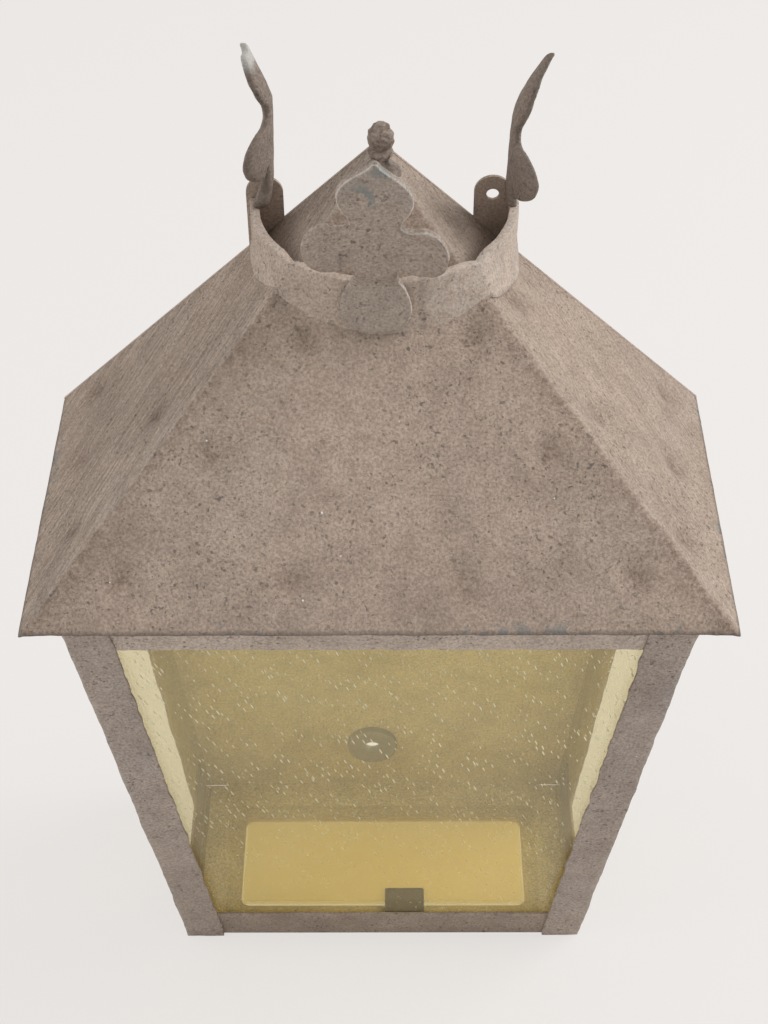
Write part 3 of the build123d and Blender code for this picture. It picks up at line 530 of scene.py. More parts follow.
def linked(name, data):
    """A new object in the scene."""
    thing = bpy.data.objects.new(name, data)
    bpy.context.scene.collection.objects.link(thing)
    return thing


def show(bm, name, finish, slot, node, *more):
    """Turns a bmesh into a piece of the lantern that stands for some nodes."""
    mesh = bpy.data.meshes.new(name)
    bm.to_mesh(mesh)
    bm.free()
    mesh.shade_smooth()
    return show_mesh(mesh, name, finish, slot, node, *more)


def show_mesh(mesh, name, finish, slot, *nodes):
    """Makes a mesh a piece of the lantern that stands for some nodes."""
    piece = linked(name, mesh)
    mesh.materials.clear()
    mesh.materials.append(coat(finish))
    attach(piece, "root")
    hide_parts(*nodes)
    return piece


def thicken(piece, thickness, edge=0.0, lining=None):
    """Gives a skin its thickness on the inner side, which may have its own finish, and softens its edges."""
    wall = piece.modifiers.new("thickness", "SOLIDIFY")
    set_up(wall, thickness=thickness, offset=-1.0, use_even_offset=True)
    if lining:
        piece.data.materials.append(coat(lining))
        wall.material_offset = 1
    if edge:
        set_up(piece.modifiers.new("edge", "BEVEL"), width=edge, segments=2, limit_method="ANGLE",
               angle_limit=radians(50))


def paint_nodes(finish, *names):
    """Gives some CAD nodes their finish."""
    for name in names:
        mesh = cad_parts[name].data
        mesh.materials.clear()
        mesh.materials.append(coat(finish))


def drift(point, size, seed=0.0):
    """Smooth noise between -1 and 1 with features of about a given size."""
    return noise.noise(Vector(point) / size + Vector((seed, seed * 1.7, seed * 0.6)))


def mark(mesh, **fields):
    """Stores values for each vertex, which a finish reads."""
    for name, values in fields.items():
        layer = mesh.attributes.new(name, "FLOAT", "POINT")
        layer.data.foreach_set("value", values)


def front_run():
    """Depth of the roof's front face, from its eave to its ridge."""
    return WALL - bpy.context.scene.lantern_roof.ridge - FRONT_EAVE


def roof_level(x, y, soften=0.0):
    """Height of the roof's outer face. The hips are rounded over the length given to soften them."""
    front = EAVE + (ROOF_TOP - EAVE) * (y - FRONT_EAVE) / front_run()
    sides = ROOF_TOP - (ROOF_TOP - EAVE) * sqrt(x * x + soften * soften) / HALF_ROOF
    if soften:
        gap = front - sides
        return (front + sides - sqrt(gap * gap + soften * soften)) / 2
    return min(front, sides)


def roof_normal(x, y):
    """Direction square to the roof's face at a place."""
    rise = ROOF_TOP - EAVE
    front = EAVE + rise * (y - FRONT_EAVE) / front_run()
    if front < ROOF_TOP - rise * abs(x) / HALF_ROOF:
        return Vector((0, -rise / front_run(), 1)).normalized()
    return Vector((copysign(rise / HALF_ROOF, x), 0, 1)).normalized()


def dent_places():
    """Middle and face direction of every dent."""
    for x, forward in FRONT_DENTS + LEFT_DENTS + RIGHT_DENTS:
        x, y = mm(x), WALL - mm(forward)
        yield Vector((x, y, roof_level(x, y))), roof_normal(x, y)


class LANTERN_OT_roof(bpy.types.Operator):
    """Beats the hipped roof out of one sheet, with its dents and ragged eave"""
    bl_idname = "lantern.roof"
    bl_label = "Roof"

    def execute(self, context):
        look, crown = context.scene.lantern_roof, context.scene.lantern_crown
        depth = BACK_FACE - FRONT_EAVE
        columns, rows = round(2 * HALF_ROOF / look.cell), round(depth / look.cell)
        bm = bmesh.new()
        bmesh.ops.create_grid(bm, x_segments=columns, y_segments=rows, size=0.5)
        bmesh.ops.scale(bm, vec=(2 * HALF_ROOF, depth, 1), verts=bm.verts)
        bmesh.ops.translate(bm, vec=(0, FRONT_EAVE + depth / 2, 0), verts=bm.verts)
        dents = list(dent_places())
        worn, sooty, chipped, soiled, grained = [], [], [], [], []
        for vert in bm.verts:
            x, y = vert.co.x, vert.co.y
            level = roof_level(x, y, look.hip_round)
            point, up = Vector((x, y, level)), roof_normal(x, y)
            rear = min(1.0, (BACK_FACE - y) / mm(12))
            eave = min(y - FRONT_EAVE, HALF_ROOF - abs(x))
            lift = look.wave * (drift(point, 0.045) * 0.6 + drift(point, 0.016, 4) * 0.22) * rear
            dirt_and_shade = 0.0
            for middle, facing in dents:
                gap = point - middle
                away = hypot(gap.x if abs(facing.x) < 0.1 else gap.y, gap.z * 1.15) / look.dent_size
                if away < 3 and facing.dot(up) > 0.9:
                    lift -= look.dent_depth * exp(-away * away) * 1.1
                    lift += look.dent_depth * 0.16 * exp(-(away - 1.7) ** 2 * 3)
                    # Grime and painted shade in the dent.
                    dirt_and_shade += exp(-away * away * 1.6)
            edge = max(0.0, 1 - eave / mm(4))
            point += up * lift * (1 - edge * 0.6)
            if edge:
                point.z += look.ragged * edge * (drift(point, 0.007, 9) + 0.5 * drift(point, 0.003, 2) - 0.3)
            point.z = min(point.z, ROOF_TOP - mm(0.2))
            vert.co = point
            hip = abs(roof_level(x, y) - level) / (look.hip_round * 0.5)
            side = abs(up.x) > 0.1
            crease = min(1.0, max(0.0, roof_level(x, y) - roof_level(x, y, mm(12))) / mm(5.5)) ** 1.6
            worn.append(min(1.0, 0.4 * hip + 0.3 * crease) * side)
            # On the front face: grime near the eave, and painted shade along the hips.
            low = 0.0 if side else 0.26 * max(0.0, 1 - eave / mm(34)) + 0.85 * crease
            soiled.append(min(1.0, 0.9 * dirt_and_shade + low))
            grained.append((1.0 if x < 0 else 0.5) * side)
            # Painted shade: the roof darkens inside the band towards the wall, more on the left, partly soot; the
            # eave's last millimetre darkens for the shadow line under it.
            inside = crown.radius - crown.band - hypot(x - crown.shift, min(0.0, y - WALL + crown.centre))
            corner = exp(-max(0.0, inside) / mm(7)) * (inside > -mm(4)) * (0.35 + 0.65 * (y > WALL - mm(34)))
            sooty.append(max(max(0.0, 1 - eave / mm(1.1)) * 0.8, corner * (0.8 if x < 0 else 0.6)))
            chipped.append(max(0.0, 1 - eave / mm(5)) * (drift(point, 0.02, 6) > 0.16))
        bmesh.ops.recalc_face_normals(bm, faces=bm.faces)
        piece = show(bm, "roof_skin", "roof_coat", "roof_paint", "roof_front", "roof_left", "roof_right")
        mark(piece.data, worn=worn, sooty=sooty, chipped=chipped, soiled=soiled, grained=grained)
        thicken(piece, look.sheet, mm(0.3))
        return {"FINISHED"}


def line(bm, points):
    """Joins points into an open line."""
    verts = [bm.verts.new(point) for point in points]
    return verts + [bm.edges.new(pair) for pair in zip(verts, verts[1:])]


def sweep(bm, geom, steps, **how):
    """Moves or turns a line, leaving a skin behind it, and gives the last line."""
    how = {"cent": (0, 0, 0), "axis": (0, 0, 1), "angle": 0.0, "use_merge": False} | how
    return bmesh.ops.spin(bm, geom=geom, steps=steps, use_duplicate=False, **how)["geom_last"]


def spaced(start, end, pieces):
    """Points from a start up to, but without, an end."""
    start, end = Vector(start), Vector(end)
    return [start.lerp(end, index / pieces) for index in range(pieces)]


class BodyShape:
    """Leaning planes of the body, worked out once from the nodes."""

    def __init__(self):
        look = bpy.context.scene.lantern_frame
        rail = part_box("top_rail_front")
        self.foot_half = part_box("front_post_right")[0].x + look.front_leg
        self.top_half = rail[1].x + look.sheet
        self.top_front = rail[0].y - look.sheet
        self.foot_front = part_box("bottom_rail_front")[1].y - 2 * look.sheet

    def half(self, z):
        return self.foot_half + (self.top_half - self.foot_half) * z / BODY_TOP

    def front(self, z):
        return self.foot_front + (self.top_front - self.foot_front) * z / BODY_TOP


def ragged_post(bm, shape, look, legs, seed, flare=0.0):
    """Wanders the edges and faces of a corner angle's skin."""
    worn = []
    for vert in bm.verts:
        point = vert.co.copy()
        z = point.z
        for leg_from, leg_dir, leg_length, outward in legs:
            along = (point - leg_from(z)).dot(leg_dir)
            away = (point - leg_from(z)).dot(outward)
            if abs(away) < mm(0.01) and -mm(0.01) < along <= leg_length + mm(0.01):
                free = max(0.0, 1 - (leg_length - along) / mm(3))
                vert.co += leg_dir * look.ragged * free * (
                    drift(point, 0.011, seed) + 0.6 * drift(point, 0.004, seed + 3))
                vert.co += outward * look.uneven * (
                    drift(point, 0.02, seed + 5) + 0.5 * drift(point, 0.006, seed + 8)) * 0.8
        corner = Vector((shape.half(z), shape.front(z), z))
        near = (Vector((abs(point.x), point.y, z)) - corner).length
        worn.append(max(0.0, 1 - near / mm(2.2)) * 0.7)
        if flare:
            rise = max(0.0, (z - (BODY_TOP - mm(26))) / mm(26))
            vert.co.x += copysign(flare * rise ** 1.6 * min(1.0, max(0.0, 1 - near / mm(22))), point.x)
    return worn


def trim_to_roof(bm, sink):
    """Cuts away what reaches above the roof's lining."""
    for x, y in ((0.0, FRONT_EAVE + mm(5)), (HALF_ROOF * 0.9, WALL - mm(20)), (-HALF_ROOF * 0.9, WALL - mm(20))):
        up = roof_normal(x, y)
        point = Vector((x, y, roof_level(x, y))) - up * sink
        bmesh.ops.bisect_plane(bm, geom=bm.verts[:] + bm.edges[:] + bm.faces[:], dist=1e-6,
                               plane_co=point, plane_no=up, clear_outer=True)


class LANTERN_OT_posts(bpy.types.Operator):
    """Bends the four corner angles, with ragged edges"""
    bl_idname = "lantern.posts"
    bl_label = "Corner angles"

    def execute(self, context):
        look, shape = context.scene.lantern_frame, BodyShape()
        steps = 200
        rise = (EAVE + mm(32)) / steps
        out = shape.half(1) - shape.half(0)
        for side, name in ((1, "right"), (-1, "left")):
            sideways, forward = Vector((side, 0, 0)), Vector((0, -1, 0))
            at = lambda z, s=side: Vector((s * shape.half(z), shape.front(z), z))
            ends = at(0) - forward * look.front_leg, at(0) - sideways * look.front_leg
            section = spaced(ends[0], at(0), 12) + spaced(at(0), ends[1], 12) + [ends[1]]
            legs = (at, -forward, look.front_leg, sideways), (at, -sideways, look.front_leg, forward)
            lean = Vector((side * out, shape.front(1) - shape.front(0), 1)) * rise
            self.bend(f"front_angle_{name}", f"front_post_{name}", section, lean, steps, shape, look, legs,
                      3 if side > 0 else 11, look.flare)

            at = lambda z, s=side: Vector((s * shape.half(z), BACK_FACE, z))
            end = at(0) + forward * look.rear_leg
            legs = (at, forward, look.rear_leg, sideways),
            self.bend(f"rear_angle_{name}", f"rear_post_{name}", spaced(at(0), end, 14) + [end],
                      Vector((side * out, 0, 1)) * rise, steps, shape, look, legs, 5 if side > 0 else 17)
        return {"FINISHED"}

    def bend(self, name, node, section, lean, steps, shape, look, legs, seed, flare=0.0):
        bm = bmesh.new()
        sweep(bm, line(bm, section), steps, dvec=lean)
        worn = ragged_post(bm, shape, look, legs, seed, flare)
        layer = bm.verts.layers.float.new("worn")
        for vert, value in zip(bm.verts, worn):
            vert[layer] = value
        trim_to_roof(bm, bpy.context.scene.lantern_roof.sheet)
        turn_outward(bm)
        piece = show(bm, name, "frame_coat", "frame_paint", node)
        thicken(piece, look.sheet, mm(0.35), "inside_coat" if node.startswith("rear") else None)


def turn_outward(bm):
    """Turns an open skin so that its faces point away from the middle of the body."""
    bmesh.ops.recalc_face_normals(bm, faces=bm.faces)
    bm.normal_update()
    middle = Vector((0, WALL, EAVE / 2))
    total = 0.0
    for face in bm.faces:
        total += face.normal.dot(face.calc_center_median() - middle) * face.calc_area()
    if total < 0:
        bmesh.ops.reverse_faces(bm, faces=bm.faces)


class LANTERN_OT_rails(bpy.types.Operator):
    """Sets the top and bottom rails between the angles"""
    bl_idname = "lantern.rails"
    bl_label = "Rails"

    def execute(self, context):
        look, shape = context.scene.lantern_frame, BodyShape()
        reach = lambda z: shape.half(z) - look.sheet
        start = lambda z: shape.front(z) + 2 * look.sheet
        front = lambda along, z: Vector((2 * reach(z) * along - reach(z), shape.front(z) + look.sheet, z))
        spans = ("top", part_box("top_rail_front")[0].z, BODY_TOP), ("bottom", 0.0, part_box("bottom_rail_front")[1].z)
        for kind, low, high in spans:
            self.bar(kind, "front", low, high, look, 150, front)
            for side, word in ((1, "right"), (-1, "left")):
                self.bar(kind, word, low, high, look, 70, lambda along, z, s=side: Vector((
                    s * reach(z), start(z) + (BACK_FACE - look.sheet - start(z)) * along, z)))
        return {"FINISHED"}

    def bar(self, kind, word, low, high, look, cells, spot):
        bm = bmesh.new()
        bmesh.ops.create_grid(bm, x_segments=cells, y_segments=14, size=0.5)
        layer = bm.verts.layers.float.new("worn")
        for vert in bm.verts:
            vert.co = point = spot(vert.co.x + 0.5, low + (high - low) * (vert.co.y + 0.5))
            free = max(0.0, 1 - (point.z - low if kind == "top" else high - point.z) / mm(4))
            vert.co.z += look.ragged * free * 0.7 * (drift(point, 0.013, 21) + 0.5 * drift(point, 0.004, 25))
            vert[layer] = free * 0.35
            if kind == "bottom":
                vert.co.z = max(0.0, vert.co.z)
        turn_outward(bm)
        piece = show(bm, f"{kind}_bar_{word}", f"{kind}_rail_coat", "frame_paint", f"{kind}_rail_{word}")
        thicken(piece, look.sheet, mm(0.35))


class LANTERN_OT_back(bpy.types.Operator):
    """Finishes the back plate, the base sheet and the small steel pieces"""
    bl_idname = "lantern.back"
    bl_label = "Back plate and base sheet"

    def execute(self, context):
        steel = ("glass_clip", "bracket_", "nipple_nut", "holder_nipple", "holder_bracket")
        paint_nodes("inside_coat", "back_plate", "base_sheet")
        paint_nodes("worn_steel", *(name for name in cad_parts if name.startswith(steel)))
        paint_nodes("dark_tin", "pane_tab", "pane_tab_rivet")
        return {"FINISHED"}


def band_bottom(x, y):
    """Foot of the band on the roof, a little below the roof's face."""
    return roof_level(x, y) - mm(1.4)


class LANTERN_OT_band(bpy.types.Operator):
    """Bends the crown band and spreads the filler at its foot"""
    bl_idname = "lantern.band"
    bl_label = "Crown band"

    def execute(self, context):
        look = context.scene.lantern_crown
        radius, centre = look.radius, WALL - look.centre
        rows = 16
        bm = bmesh.new()
        last = line(bm, [(radius, BACK_FACE, index / rows) for index in range(rows + 1)])
        last = sweep(bm, last, 4, dvec=(0, (centre - BACK_FACE) / 4, 0))
        last = sweep(bm, last, 120, cent=(0, centre, 0), axis=(0, 0, -1), angle=pi)
        sweep(bm, last, 4, dvec=(0, (BACK_FACE - centre) / 4, 0))
        bmesh.ops.remove_doubles(bm, verts=bm.verts, dist=1e-6)
        layer, pale_right, painted_shade = (bm.verts.layers.float.new(name) for name in ("worn", "bright", "sooty"))
        for vert in bm.verts:
            x, y, up = vert.co
            out = Vector((x, min(0.0, y - centre), 0)).normalized()
            foot = band_bottom(x, y)
            crest = BAND_TOP + mm(0.35) * drift((x, y, 0), 0.012, 31) + mm(0.25) * drift((x, y, 0), 0.004, 33)
            z = foot + (crest - foot) * up
            low = max(0.0, 1 - (z - foot) / mm(15))
            hips = exp(-((abs(x) - radius * 0.66) / mm(15)) ** 2)
            spread = (look.filler * hips + mm(0.8)) * (0.9 + 0.3 * drift((x, y, 0), 0.02, 35))
            there = Vector((x, y, 0)) + out * spread
            drop = foot - band_bottom(there.x, there.y)
            ripple = mm(0.35) * drift((x, y, z), 0.014, 37) + mm(0.16) * drift((x, y, z), 0.005, 39)
            vert.co = Vector((x, y, z - drop * low ** 1.5)) + out * (spread * low ** 1.5 + ripple)
            vert.co.y = min(vert.co.y, BACK_FACE)
            vert.co.x += look.shift
            vert[layer] = max(0.0, 1 - (crest - z) / mm(1.2)) * 0.5
            right = min(1.0, max(0.0, (x - mm(17)) / mm(5)))
            # Pale flecks on the band's right part.
            vert[pale_right] = right * max(0.0, 0.07 + 0.16 * drift((x, y, z), 0.003, 34))
            # Painted shade: darker at the band's foot on its right part, and a dark stripe just right of the front
            # leaf's foot for the shadow that the foot casts.
            vert[painted_shade] = 0.45 * max(0.0, 1 - (z - foot) / mm(1.6)) * right + 0.3 * (mm(14) < x < mm(17.5))
        turn_outward(bm)
        thicken(show(bm, "crown_ring", "band_coat", "crown_paint", "crown_band"), look.band, mm(0.9))
        return {"FINISHED"}


def settled(name, data, cell=None):
    """Mesh of some data, remeshed into cells where their size is given. The data is thrown away."""
    source = linked(name, data)
    if cell:
        set_up(source.modifiers.new("even", "REMESH"), mode="VOXEL", voxel_size=cell)
    graph = bpy.context.evaluated_depsgraph_get()
    mesh = bpy.data.meshes.new_from_object(source.evaluated_get(graph))
    bpy.data.objects.remove(source)
    (bpy.data.meshes if cell else bpy.data.curves).remove(data)
    return mesh


def leaf_mesh(name, outline, look):
    """Closed plate with rounded rims from a smooth outline, remeshed evenly."""
    curve = set_up(
        bpy.data.curves.new(name, "CURVE"), dimensions="2D", fill_mode="BOTH", extrude=look.plate / 2 - look.rim,
        bevel_depth=look.rim, bevel_resolution=2, offset=-look.rim, resolution_u=10)
    spline = curve.splines.new("BEZIER")
    spline.bezier_points.add(len(outline) - 1)
    spline.use_cyclic_u = True
    for point, (across, up) in zip(spline.bezier_points, outline):
        set_up(point, co=(mm(across), mm(up), 0), handle_left_type="AUTO", handle_right_type="AUTO")
    return settled(name, settled(name, curve), mm(0.8))


def curl(across, flat, reach, depth):
    """How far a lobe stands outward at a distance from the leaf's middle."""
    past = max(0.0, abs(across) - flat) / (reach - flat)
    return depth * past * past


def bend_front(point, look, band_up):
    """Wraps the foot round the band, cups the lobes and leans the blade outward. Lands by the band's centre."""
    across, up, out = point
    out += look.plate / 2
    above = up - band_up
    ease = min(1.0, max(0.0, above / mm(7)))
    above -= look.slant * across * ease
    hold = min(1.0, max(0.0, 1 - above / mm(9)))
    aside = across - mm(3.3)
    swing = aside / look.radius
    round_x = (look.radius + out) * sin(swing)
    round_y = look.radius - (look.radius + out) * cos(swing)
    flat_y = -out - curl(across, mm(9), mm(29), look.cup) * ease
    there = Vector((aside + (round_x - aside) * hold, flat_y + (round_y - flat_y) * hold, above))
    if above > 0:
        there = there.lerp(Matrix.Rotation(look.front_lean, 3, "X") @ there, ease)
    return there + Vector((look.shift, WALL - look.centre - look.radius, BAND_TOP))


def stands_out(bends, up):
    """How far outward a half leaf stands at a height, in its list of bends."""
    for (low, near), (high, far) in zip(bends, bends[1:]):
        if up <= mm(high):
            return mm(near) + (mm(far) - mm(near)) * max(0.0, up - mm(low)) / mm(high - low)
    return mm(bends[-1][1])


def bend_half(point, look, side):
    """Curls a half leaf outward in plan and bends its tip over. A side is 1 on the right and -1 on the left."""
    reach, up, out = point
    out += look.plate / 2
    start = radians(2)
    turn = asin(min(0.8, sin(start) + max(0.0, reach) / look.curl_radius))
    out *= 1 + max(0.0, 1 - up / mm(16)) * (side < 0)
    x = look.inner + look.curl_radius * (cos(start) - cos(turn)) + out / max(0.8, cos(turn))
    x += stands_out(RIGHT_BENDS if side > 0 else LEFT_BENDS, up)
    return Vector((side * x + look.shift, BACK_FACE - reach, BAND_TOP + up))


def half_outline(lift):
    """Outline of a half leaf, its lobe and tip raised by a lift."""
    tip = 71.5 + lift / 2
    lobes = tuple((reach, up + lift * min(1.0, up / 12)) for reach, up in HALF_OUTLINE)
    inner_edge = (0, tip), (0, tip * 0.75), (0, tip * 0.5), (0, tip * 0.25)
    return ((0, 0), (4, 0), (8.2, 0)) + lobes + ((2.4, tip - 3),) + inner_edge


class LANTERN_OT_leaves(bpy.types.Operator):
    """Cuts the three leaves, and cups and leans them"""
    bl_idname = "lantern.leaves"
    bl_label = "Crown leaves"

    def execute(self, context):
        look = context.scene.lantern_crown
        foot, lift = BAND_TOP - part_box("fleur_front")[0].z, look.lift * 1000
        whole = LEAF_OUTLINE + tuple((-x, y) for x, y in reversed(LEAF_OUTLINE[1:]))
        self.leaf("front", whole, lambda point: bend_front(point, look, foot), look)
        self.leaf("right", half_outline(-lift), lambda point: bend_half(point, look, 1), look)
        self.leaf("left", half_outline(lift), lambda point: bend_half(point, look, -1), look)
        return {"FINISHED"}

    def leaf(self, word, outline, bend, look):
        name, front = f"leaf_{word}", word == "front"
        mesh = leaf_mesh(name, outline, look)
        rim = look.plate / 2 - look.rim
        sooty, bright, chipped, soiled = [], [], [], []
        for vert in mesh.vertices:
            flat = vert.co.copy()
            across, up, out = flat
            edge = abs(out) < rim + mm(0.25)
            wander = drift(flat, 0.012, 47)
            face = mm(0.30) * drift(flat, 0.013, 41) + mm(0.16) * drift(flat, 0.0045, 43)
            if edge:
                vert.co.x += mm(0.28) * drift((up * 1.0, out * 0.3, across), 0.004, 45) + mm(0.2) * wander
            if front:
                gap = hypot(across + mm(2), up - mm(9.5))
                face -= mm(0.35) * exp(-((gap - mm(5.5)) / mm(0.9)) ** 2)
            vert.co.z += face
            spot = bend(vert.co)
            spot.y = min(spot.y, BACK_FACE)
            spot.z = max(spot.z, roof_level(spot.x, spot.y) - mm(1.5))
            vert.co = spot
            # Painted highlight: the rounded outer rims are marked pale where light catches them; on the front leaf
            # these are the rims facing up, on the half leaves those above their foot. The front leaf's lower part is a
            # little paler, and the left half leaf's tip is pale.
            rounded = edge < (abs(out) < rim + mm(0.7))
            upward = up > mm(60) or (across > 0 and (up < mm(27) or up > mm(48)))
            lit = rounded and out > 0 and wander > -0.3 and (upward if front else up > mm(20))
            bright.append(0.50 * lit + 0.06 * (up < mm(25)) if front else 0.15 * lit)
            if word == "left" and up > mm(64) and abs(wander) < 0.5:
                bright[-1] = min(1.0, (up - mm(64)) / mm(4))
            patch = exp(-(((across + mm(4)) ** 2 + (up - mm(77)) ** 2) / mm(5.5) ** 2)) * front
            neck = exp(-((up - mm(90)) / mm(3)) ** 2) * front
            chipped.append(min(1.0, patch * 1.3 + neck))
            # Painted shade: a dark line in the front leaf's left notch and dark spots in its cupped lobes. The half
            # leaves are darkened all over, and more at their rims for the shade on their edges.
            crevice = exp(-((across + mm(14)) / mm(0.7)) ** 2) * (mm(33) < up < mm(46)) * 0.5
            for spot_x, spot_up, size in ((-11, 60, 2.4), (11.5, 60, 2.6), (-19, 34, 1.8), (9, 32, 1.6)):
                off = hypot(across - mm(spot_x), up - mm(spot_up)) / mm(size)
                crevice = max(crevice, 0.55 * exp(-off * off) * (0.7 + wander))
            sooty.append(crevice if front else 0.50 + 0.35 * edge * (0.6 + wander))
            sides = max(0.0, abs(across) - mm(14)) / mm(14)
            soiled.append(min(1.0, 0.5 * sides * (drift(flat, 0.008, 49) > 0)) if front else 0.3)
        bm = bmesh.new()
        bm.from_mesh(mesh)
        bmesh.ops.smooth_vert(bm, verts=bm.verts, factor=0.5, use_axis_x=True, use_axis_y=True, use_axis_z=True)
        bm.to_mesh(mesh)
        bm.free()
        mesh.shade_smooth()
        show_mesh(mesh, name, "crown_coat", "crown_paint", f"fleur_{word}")
        mark(mesh, sooty=sooty, bright=bright, chipped=chipped, soiled=soiled)


class LANTERN_OT_ball(bpy.types.Operator):
    """Turns the pitted ball, its collar and its neck"""
    bl_idname = "lantern.ball"
    bl_label = "Ball on the roof"

    def execute(self, context):
        look = context.scene.lantern_crown
        low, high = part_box("finial")
        x, y = (low.x + high.x) / 2 + look.shift * 0.45, (low.y + high.y) / 2
        radius = look.ball / 2
        ball_z = high.z - radius * 1.12
        profile = [(0.0, high.z)]
        for step in range(1, 10):
            angle = radians(step * 10)
            profile.append((radius * sin(angle), ball_z + radius * 1.12 * cos(angle)))
        for out, down in COLLAR:
            profile.append((mm(out), ball_z - mm(down)))
        bm = bmesh.new()
        line(bm, [(x + out, y, z) for out, z in profile])
        bmesh.ops.subdivide_edges(bm, edges=bm.edges, cuts=2)
        sweep(bm, bm.verts[:] + bm.edges[:], 48, cent=(x, y, 0), angle=tau, use_merge=True)
        bmesh.ops.remove_doubles(bm, verts=bm.verts, dist=1e-6)
        for vert in bm.verts:
            out = Vector((vert.co.x - x, vert.co.y - y, (vert.co.z - ball_z) * 0.6)).normalized()
            lump = drift(vert.co, 0.0045, 51) * mm(0.7) + drift(vert.co, 0.0018, 53) * mm(0.7)
            vert.co += out * lump
            vert.co.z = min(vert.co.z, high.z)
        soiled = [0.9 * (drift(vert.co, 0.0028, 55) > 0.05) for vert in bm.verts]
        hole = Vector((x + mm(3.5), y - mm(3.5), ball_z - mm(10.6)))
        sooty = [0.36 + 0.3 * drift(vert.co, 0.0016, 57) + max(0.0, 1 - (vert.co - hole).length / mm(3)) * 1.3
                 for vert in bm.verts]
        bmesh.ops.recalc_face_normals(bm, faces=bm.faces)
        piece = show(bm, "roof_ball", "crown_coat", "crown_paint", "finial")
        mark(piece.data, soiled=soiled, sooty=sooty)
        return {"FINISHED"}


class LANTERN_OT_panes(bpy.types.Operator):
    """Tints the three upright panes and the loose pane over the base"""
    bl_idname = "lantern.panes"
    bl_label = "Panes"

    def execute(self, context):
        paint_nodes("upright_pane", "glass_front", "glass_left", "glass_right")
        paint_nodes("base_pane", "glass_base")
        return {"FINISHED"}


class LANTERN_OT_holder(bpy.types.Operator):
    """Threads the sleeve and finishes the lamp holder and the lead's ring"""
    bl_idname = "lantern.holder"
    bl_label = "Lamp holder"

    def execute(self, context):
        paint_nodes("holder_black", "holder_cap", "holder_shell")
        paint_nodes("dull_brass", "centre_contact", "earth_screw")
        paint_nodes("insulator_white", "holder_insulator")
        paint_nodes("ring_rubber", "cable_grommet")
        low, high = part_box("screw_sleeve")
        x, y = (low.x + high.x) / 2, (low.y + high.y) / 2
        outer, pitch = (high.x - low.x) / 2, mm(3.63)
        turns = int((high.z - low.z) / pitch) - 1
        bm = bmesh.new()
        waves = 8
        points = []
        for index in range(waves * turns + 1):
            deep = 0.5 - 0.5 * cos(tau * index / waves)
            points.append((x + outer - mm(0.15) - mm(0.9) * deep, y, low.z + pitch * index / waves))
        sweep(bm, line(bm, points), 56, cent=(x, y, 0), angle=tau, dvec=(0, 0, pitch / 56))
        bmesh.ops.remove_doubles(bm, verts=bm.verts, dist=mm(0.01))
        bmesh.ops.recalc_face_normals(bm, faces=bm.faces)
        bm.normal_update()
        face = bm.faces[0]
        if face.normal.dot(face.calc_center_median() - Vector((x, y, face.calc_center_median().z))) < 0:
            bmesh.ops.reverse_faces(bm, faces=bm.faces)
        thicken(show(bm, "threaded_sleeve", "dull_brass", "brass", "screw_sleeve"), mm(0.4))
        return {"FINISHED"}


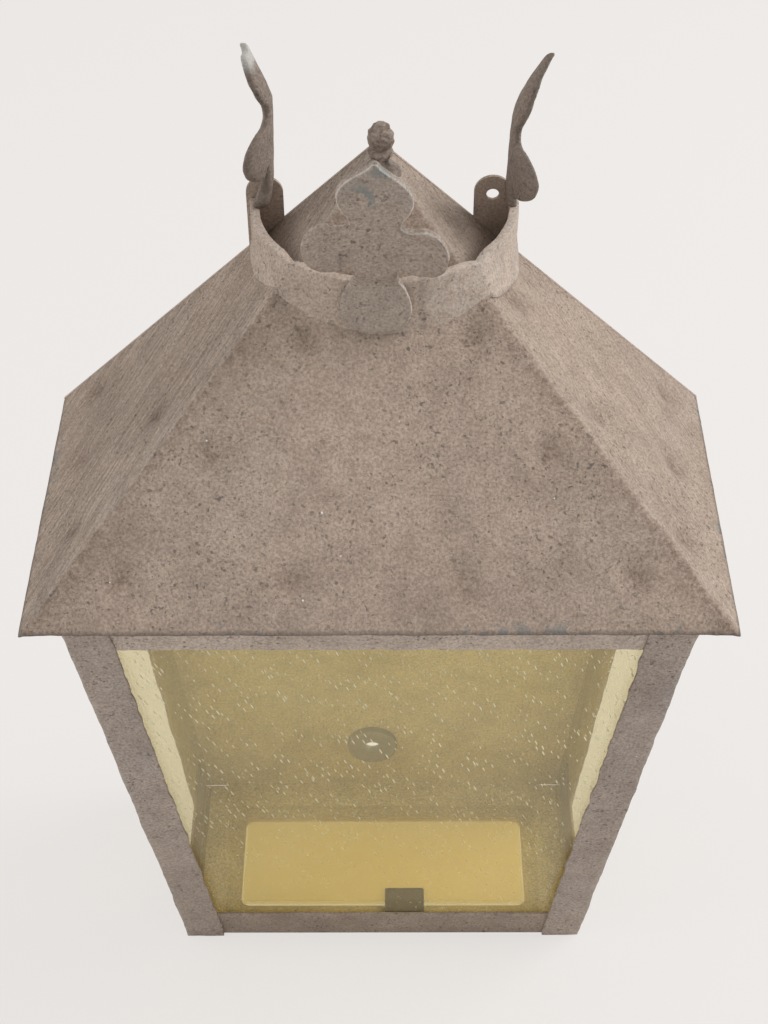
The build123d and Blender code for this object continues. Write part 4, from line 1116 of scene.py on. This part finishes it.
class LANTERN_OT_stage(bpy.types.Operator):
    """Lays the floor, sets the lights and stands the camera where the photograph was taken"""
    bl_idname = "lantern.stage"
    bl_label = "Floor, light and camera"

    def execute(self, context):
        scene = context.scene
        bm = bmesh.new()
        bmesh.ops.create_grid(bm, x_segments=2, y_segments=2, size=3.0)
        bmesh.ops.translate(bm, vec=(0, 0, -mm(0.3)), verts=bm.verts)
        mesh = bpy.data.meshes.new("floor")
        bm.to_mesh(mesh)
        bm.free()
        floor = linked("floor", mesh)
        tree = fresh_tree("floor_cloth")
        matte = put(tree, "BsdfDiffuse", {"Color": with_alpha(scene.lantern_finish.floor)})
        pale = put(tree, "Emission", {"Color": with_alpha(tone(235, 231, 228)), "Strength": 1.0})
        share = times(tree, put(tree, "LightPath").outputs["Is Camera Ray"], 0.8)
        mesh.materials.append(surfaced("floor_cloth", tree, put(tree, "MixShader", {0: share, 1: matte, 2: pale})))

        scene.world = set_up(bpy.data.worlds.new("studio"), use_nodes=True)
        sky = scene.world.node_tree.nodes["Background"]
        sky.inputs["Color"].default_value = with_alpha(STUDIO_WHITE)
        sky.inputs["Strength"].default_value = 0.62
        self.lamp("key", (1.6, 0.35, 1.6), 1.3, 26.0)
        self.lamp("fill", (-1.7, -0.3, 1.3), 1.6, 9.0)

        lens = set_up(bpy.data.cameras.new("camera"), sensor_fit="HORIZONTAL", sensor_width=36.0, lens=84.14,
                      clip_start=0.01)
        eye = linked("camera", lens)
        level = cos(EYE_PITCH)
        forward = Vector((sin(EYE_YAW) * level, cos(EYE_YAW) * level, -sin(EYE_PITCH)))
        right = forward.cross(Vector((0, 0, 1))).normalized()
        up = right.cross(forward)
        turned_right = right * cos(EYE_ROLL) + up * sin(EYE_ROLL)
        turned_up = up * cos(EYE_ROLL) - right * sin(EYE_ROLL)
        axes = Matrix((turned_right, turned_up, -forward)).transposed().to_4x4()
        eye.matrix_world = Matrix.Translation(EYE) @ axes
        scene.camera = eye
        scene.view_settings.view_transform = "Standard"
        return {"FINISHED"}

    def lamp(self, name, spot, size, power):
        light = set_up(bpy.data.lights.new(name, "AREA"), shape="DISK", size=size, energy=power, color=STUDIO_WHITE)
        lamp = linked(name, light)
        aim = Vector((0, 0, 0.25)) - Vector(spot)
        set_up(lamp, location=spot, rotation_euler=aim.to_track_quat("-Z", "Y").to_euler())


STEPS = ("stage", "roof", "posts", "rails", "back", "band", "leaves", "ball", "panes", "holder")


class VIEW3D_PT_lantern(bpy.types.Panel):
    """Buttons and sizes of the lantern"""
    bl_label = "Half Lantern"
    bl_space_type = "VIEW_3D"
    bl_region_type = "UI"
    bl_category = "Lantern"

    def draw(self, context):
        for step in STEPS:
            self.layout.operator("lantern." + step)
        for name, group in SETTINGS:
            box = self.layout.box()
            box.label(text=group.__doc__)
            for key in group.__annotations__:
                box.prop(getattr(context.scene, name), key)


SETTINGS = (
    ("lantern_roof", LanternRoofSettings),
    ("lantern_frame", LanternFrameSettings),
    ("lantern_crown", LanternCrownSettings),
    ("lantern_glass", LanternGlassSettings),
    ("lantern_finish", LanternFinishSettings),
)
CLASSES = tuple(group for _, group in SETTINGS) + (
    LANTERN_OT_stage, LANTERN_OT_roof, LANTERN_OT_posts, LANTERN_OT_rails, LANTERN_OT_back, LANTERN_OT_band,
    LANTERN_OT_leaves, LANTERN_OT_ball, LANTERN_OT_panes, LANTERN_OT_holder, VIEW3D_PT_lantern,
)


def register():
    for cls in CLASSES:
        bpy.utils.register_class(cls)
    for name, group in SETTINGS:
        setattr(bpy.types.Scene, name, bpy.props.PointerProperty(type=group))


def unregister():
    for name, _ in SETTINGS:
        delattr(bpy.types.Scene, name)
    for cls in reversed(CLASSES):
        bpy.utils.unregister_class(cls)


def main():
    register()
    for step in STEPS:
        getattr(bpy.ops.lantern, step)()


if __name__ == "__main__":
    main()
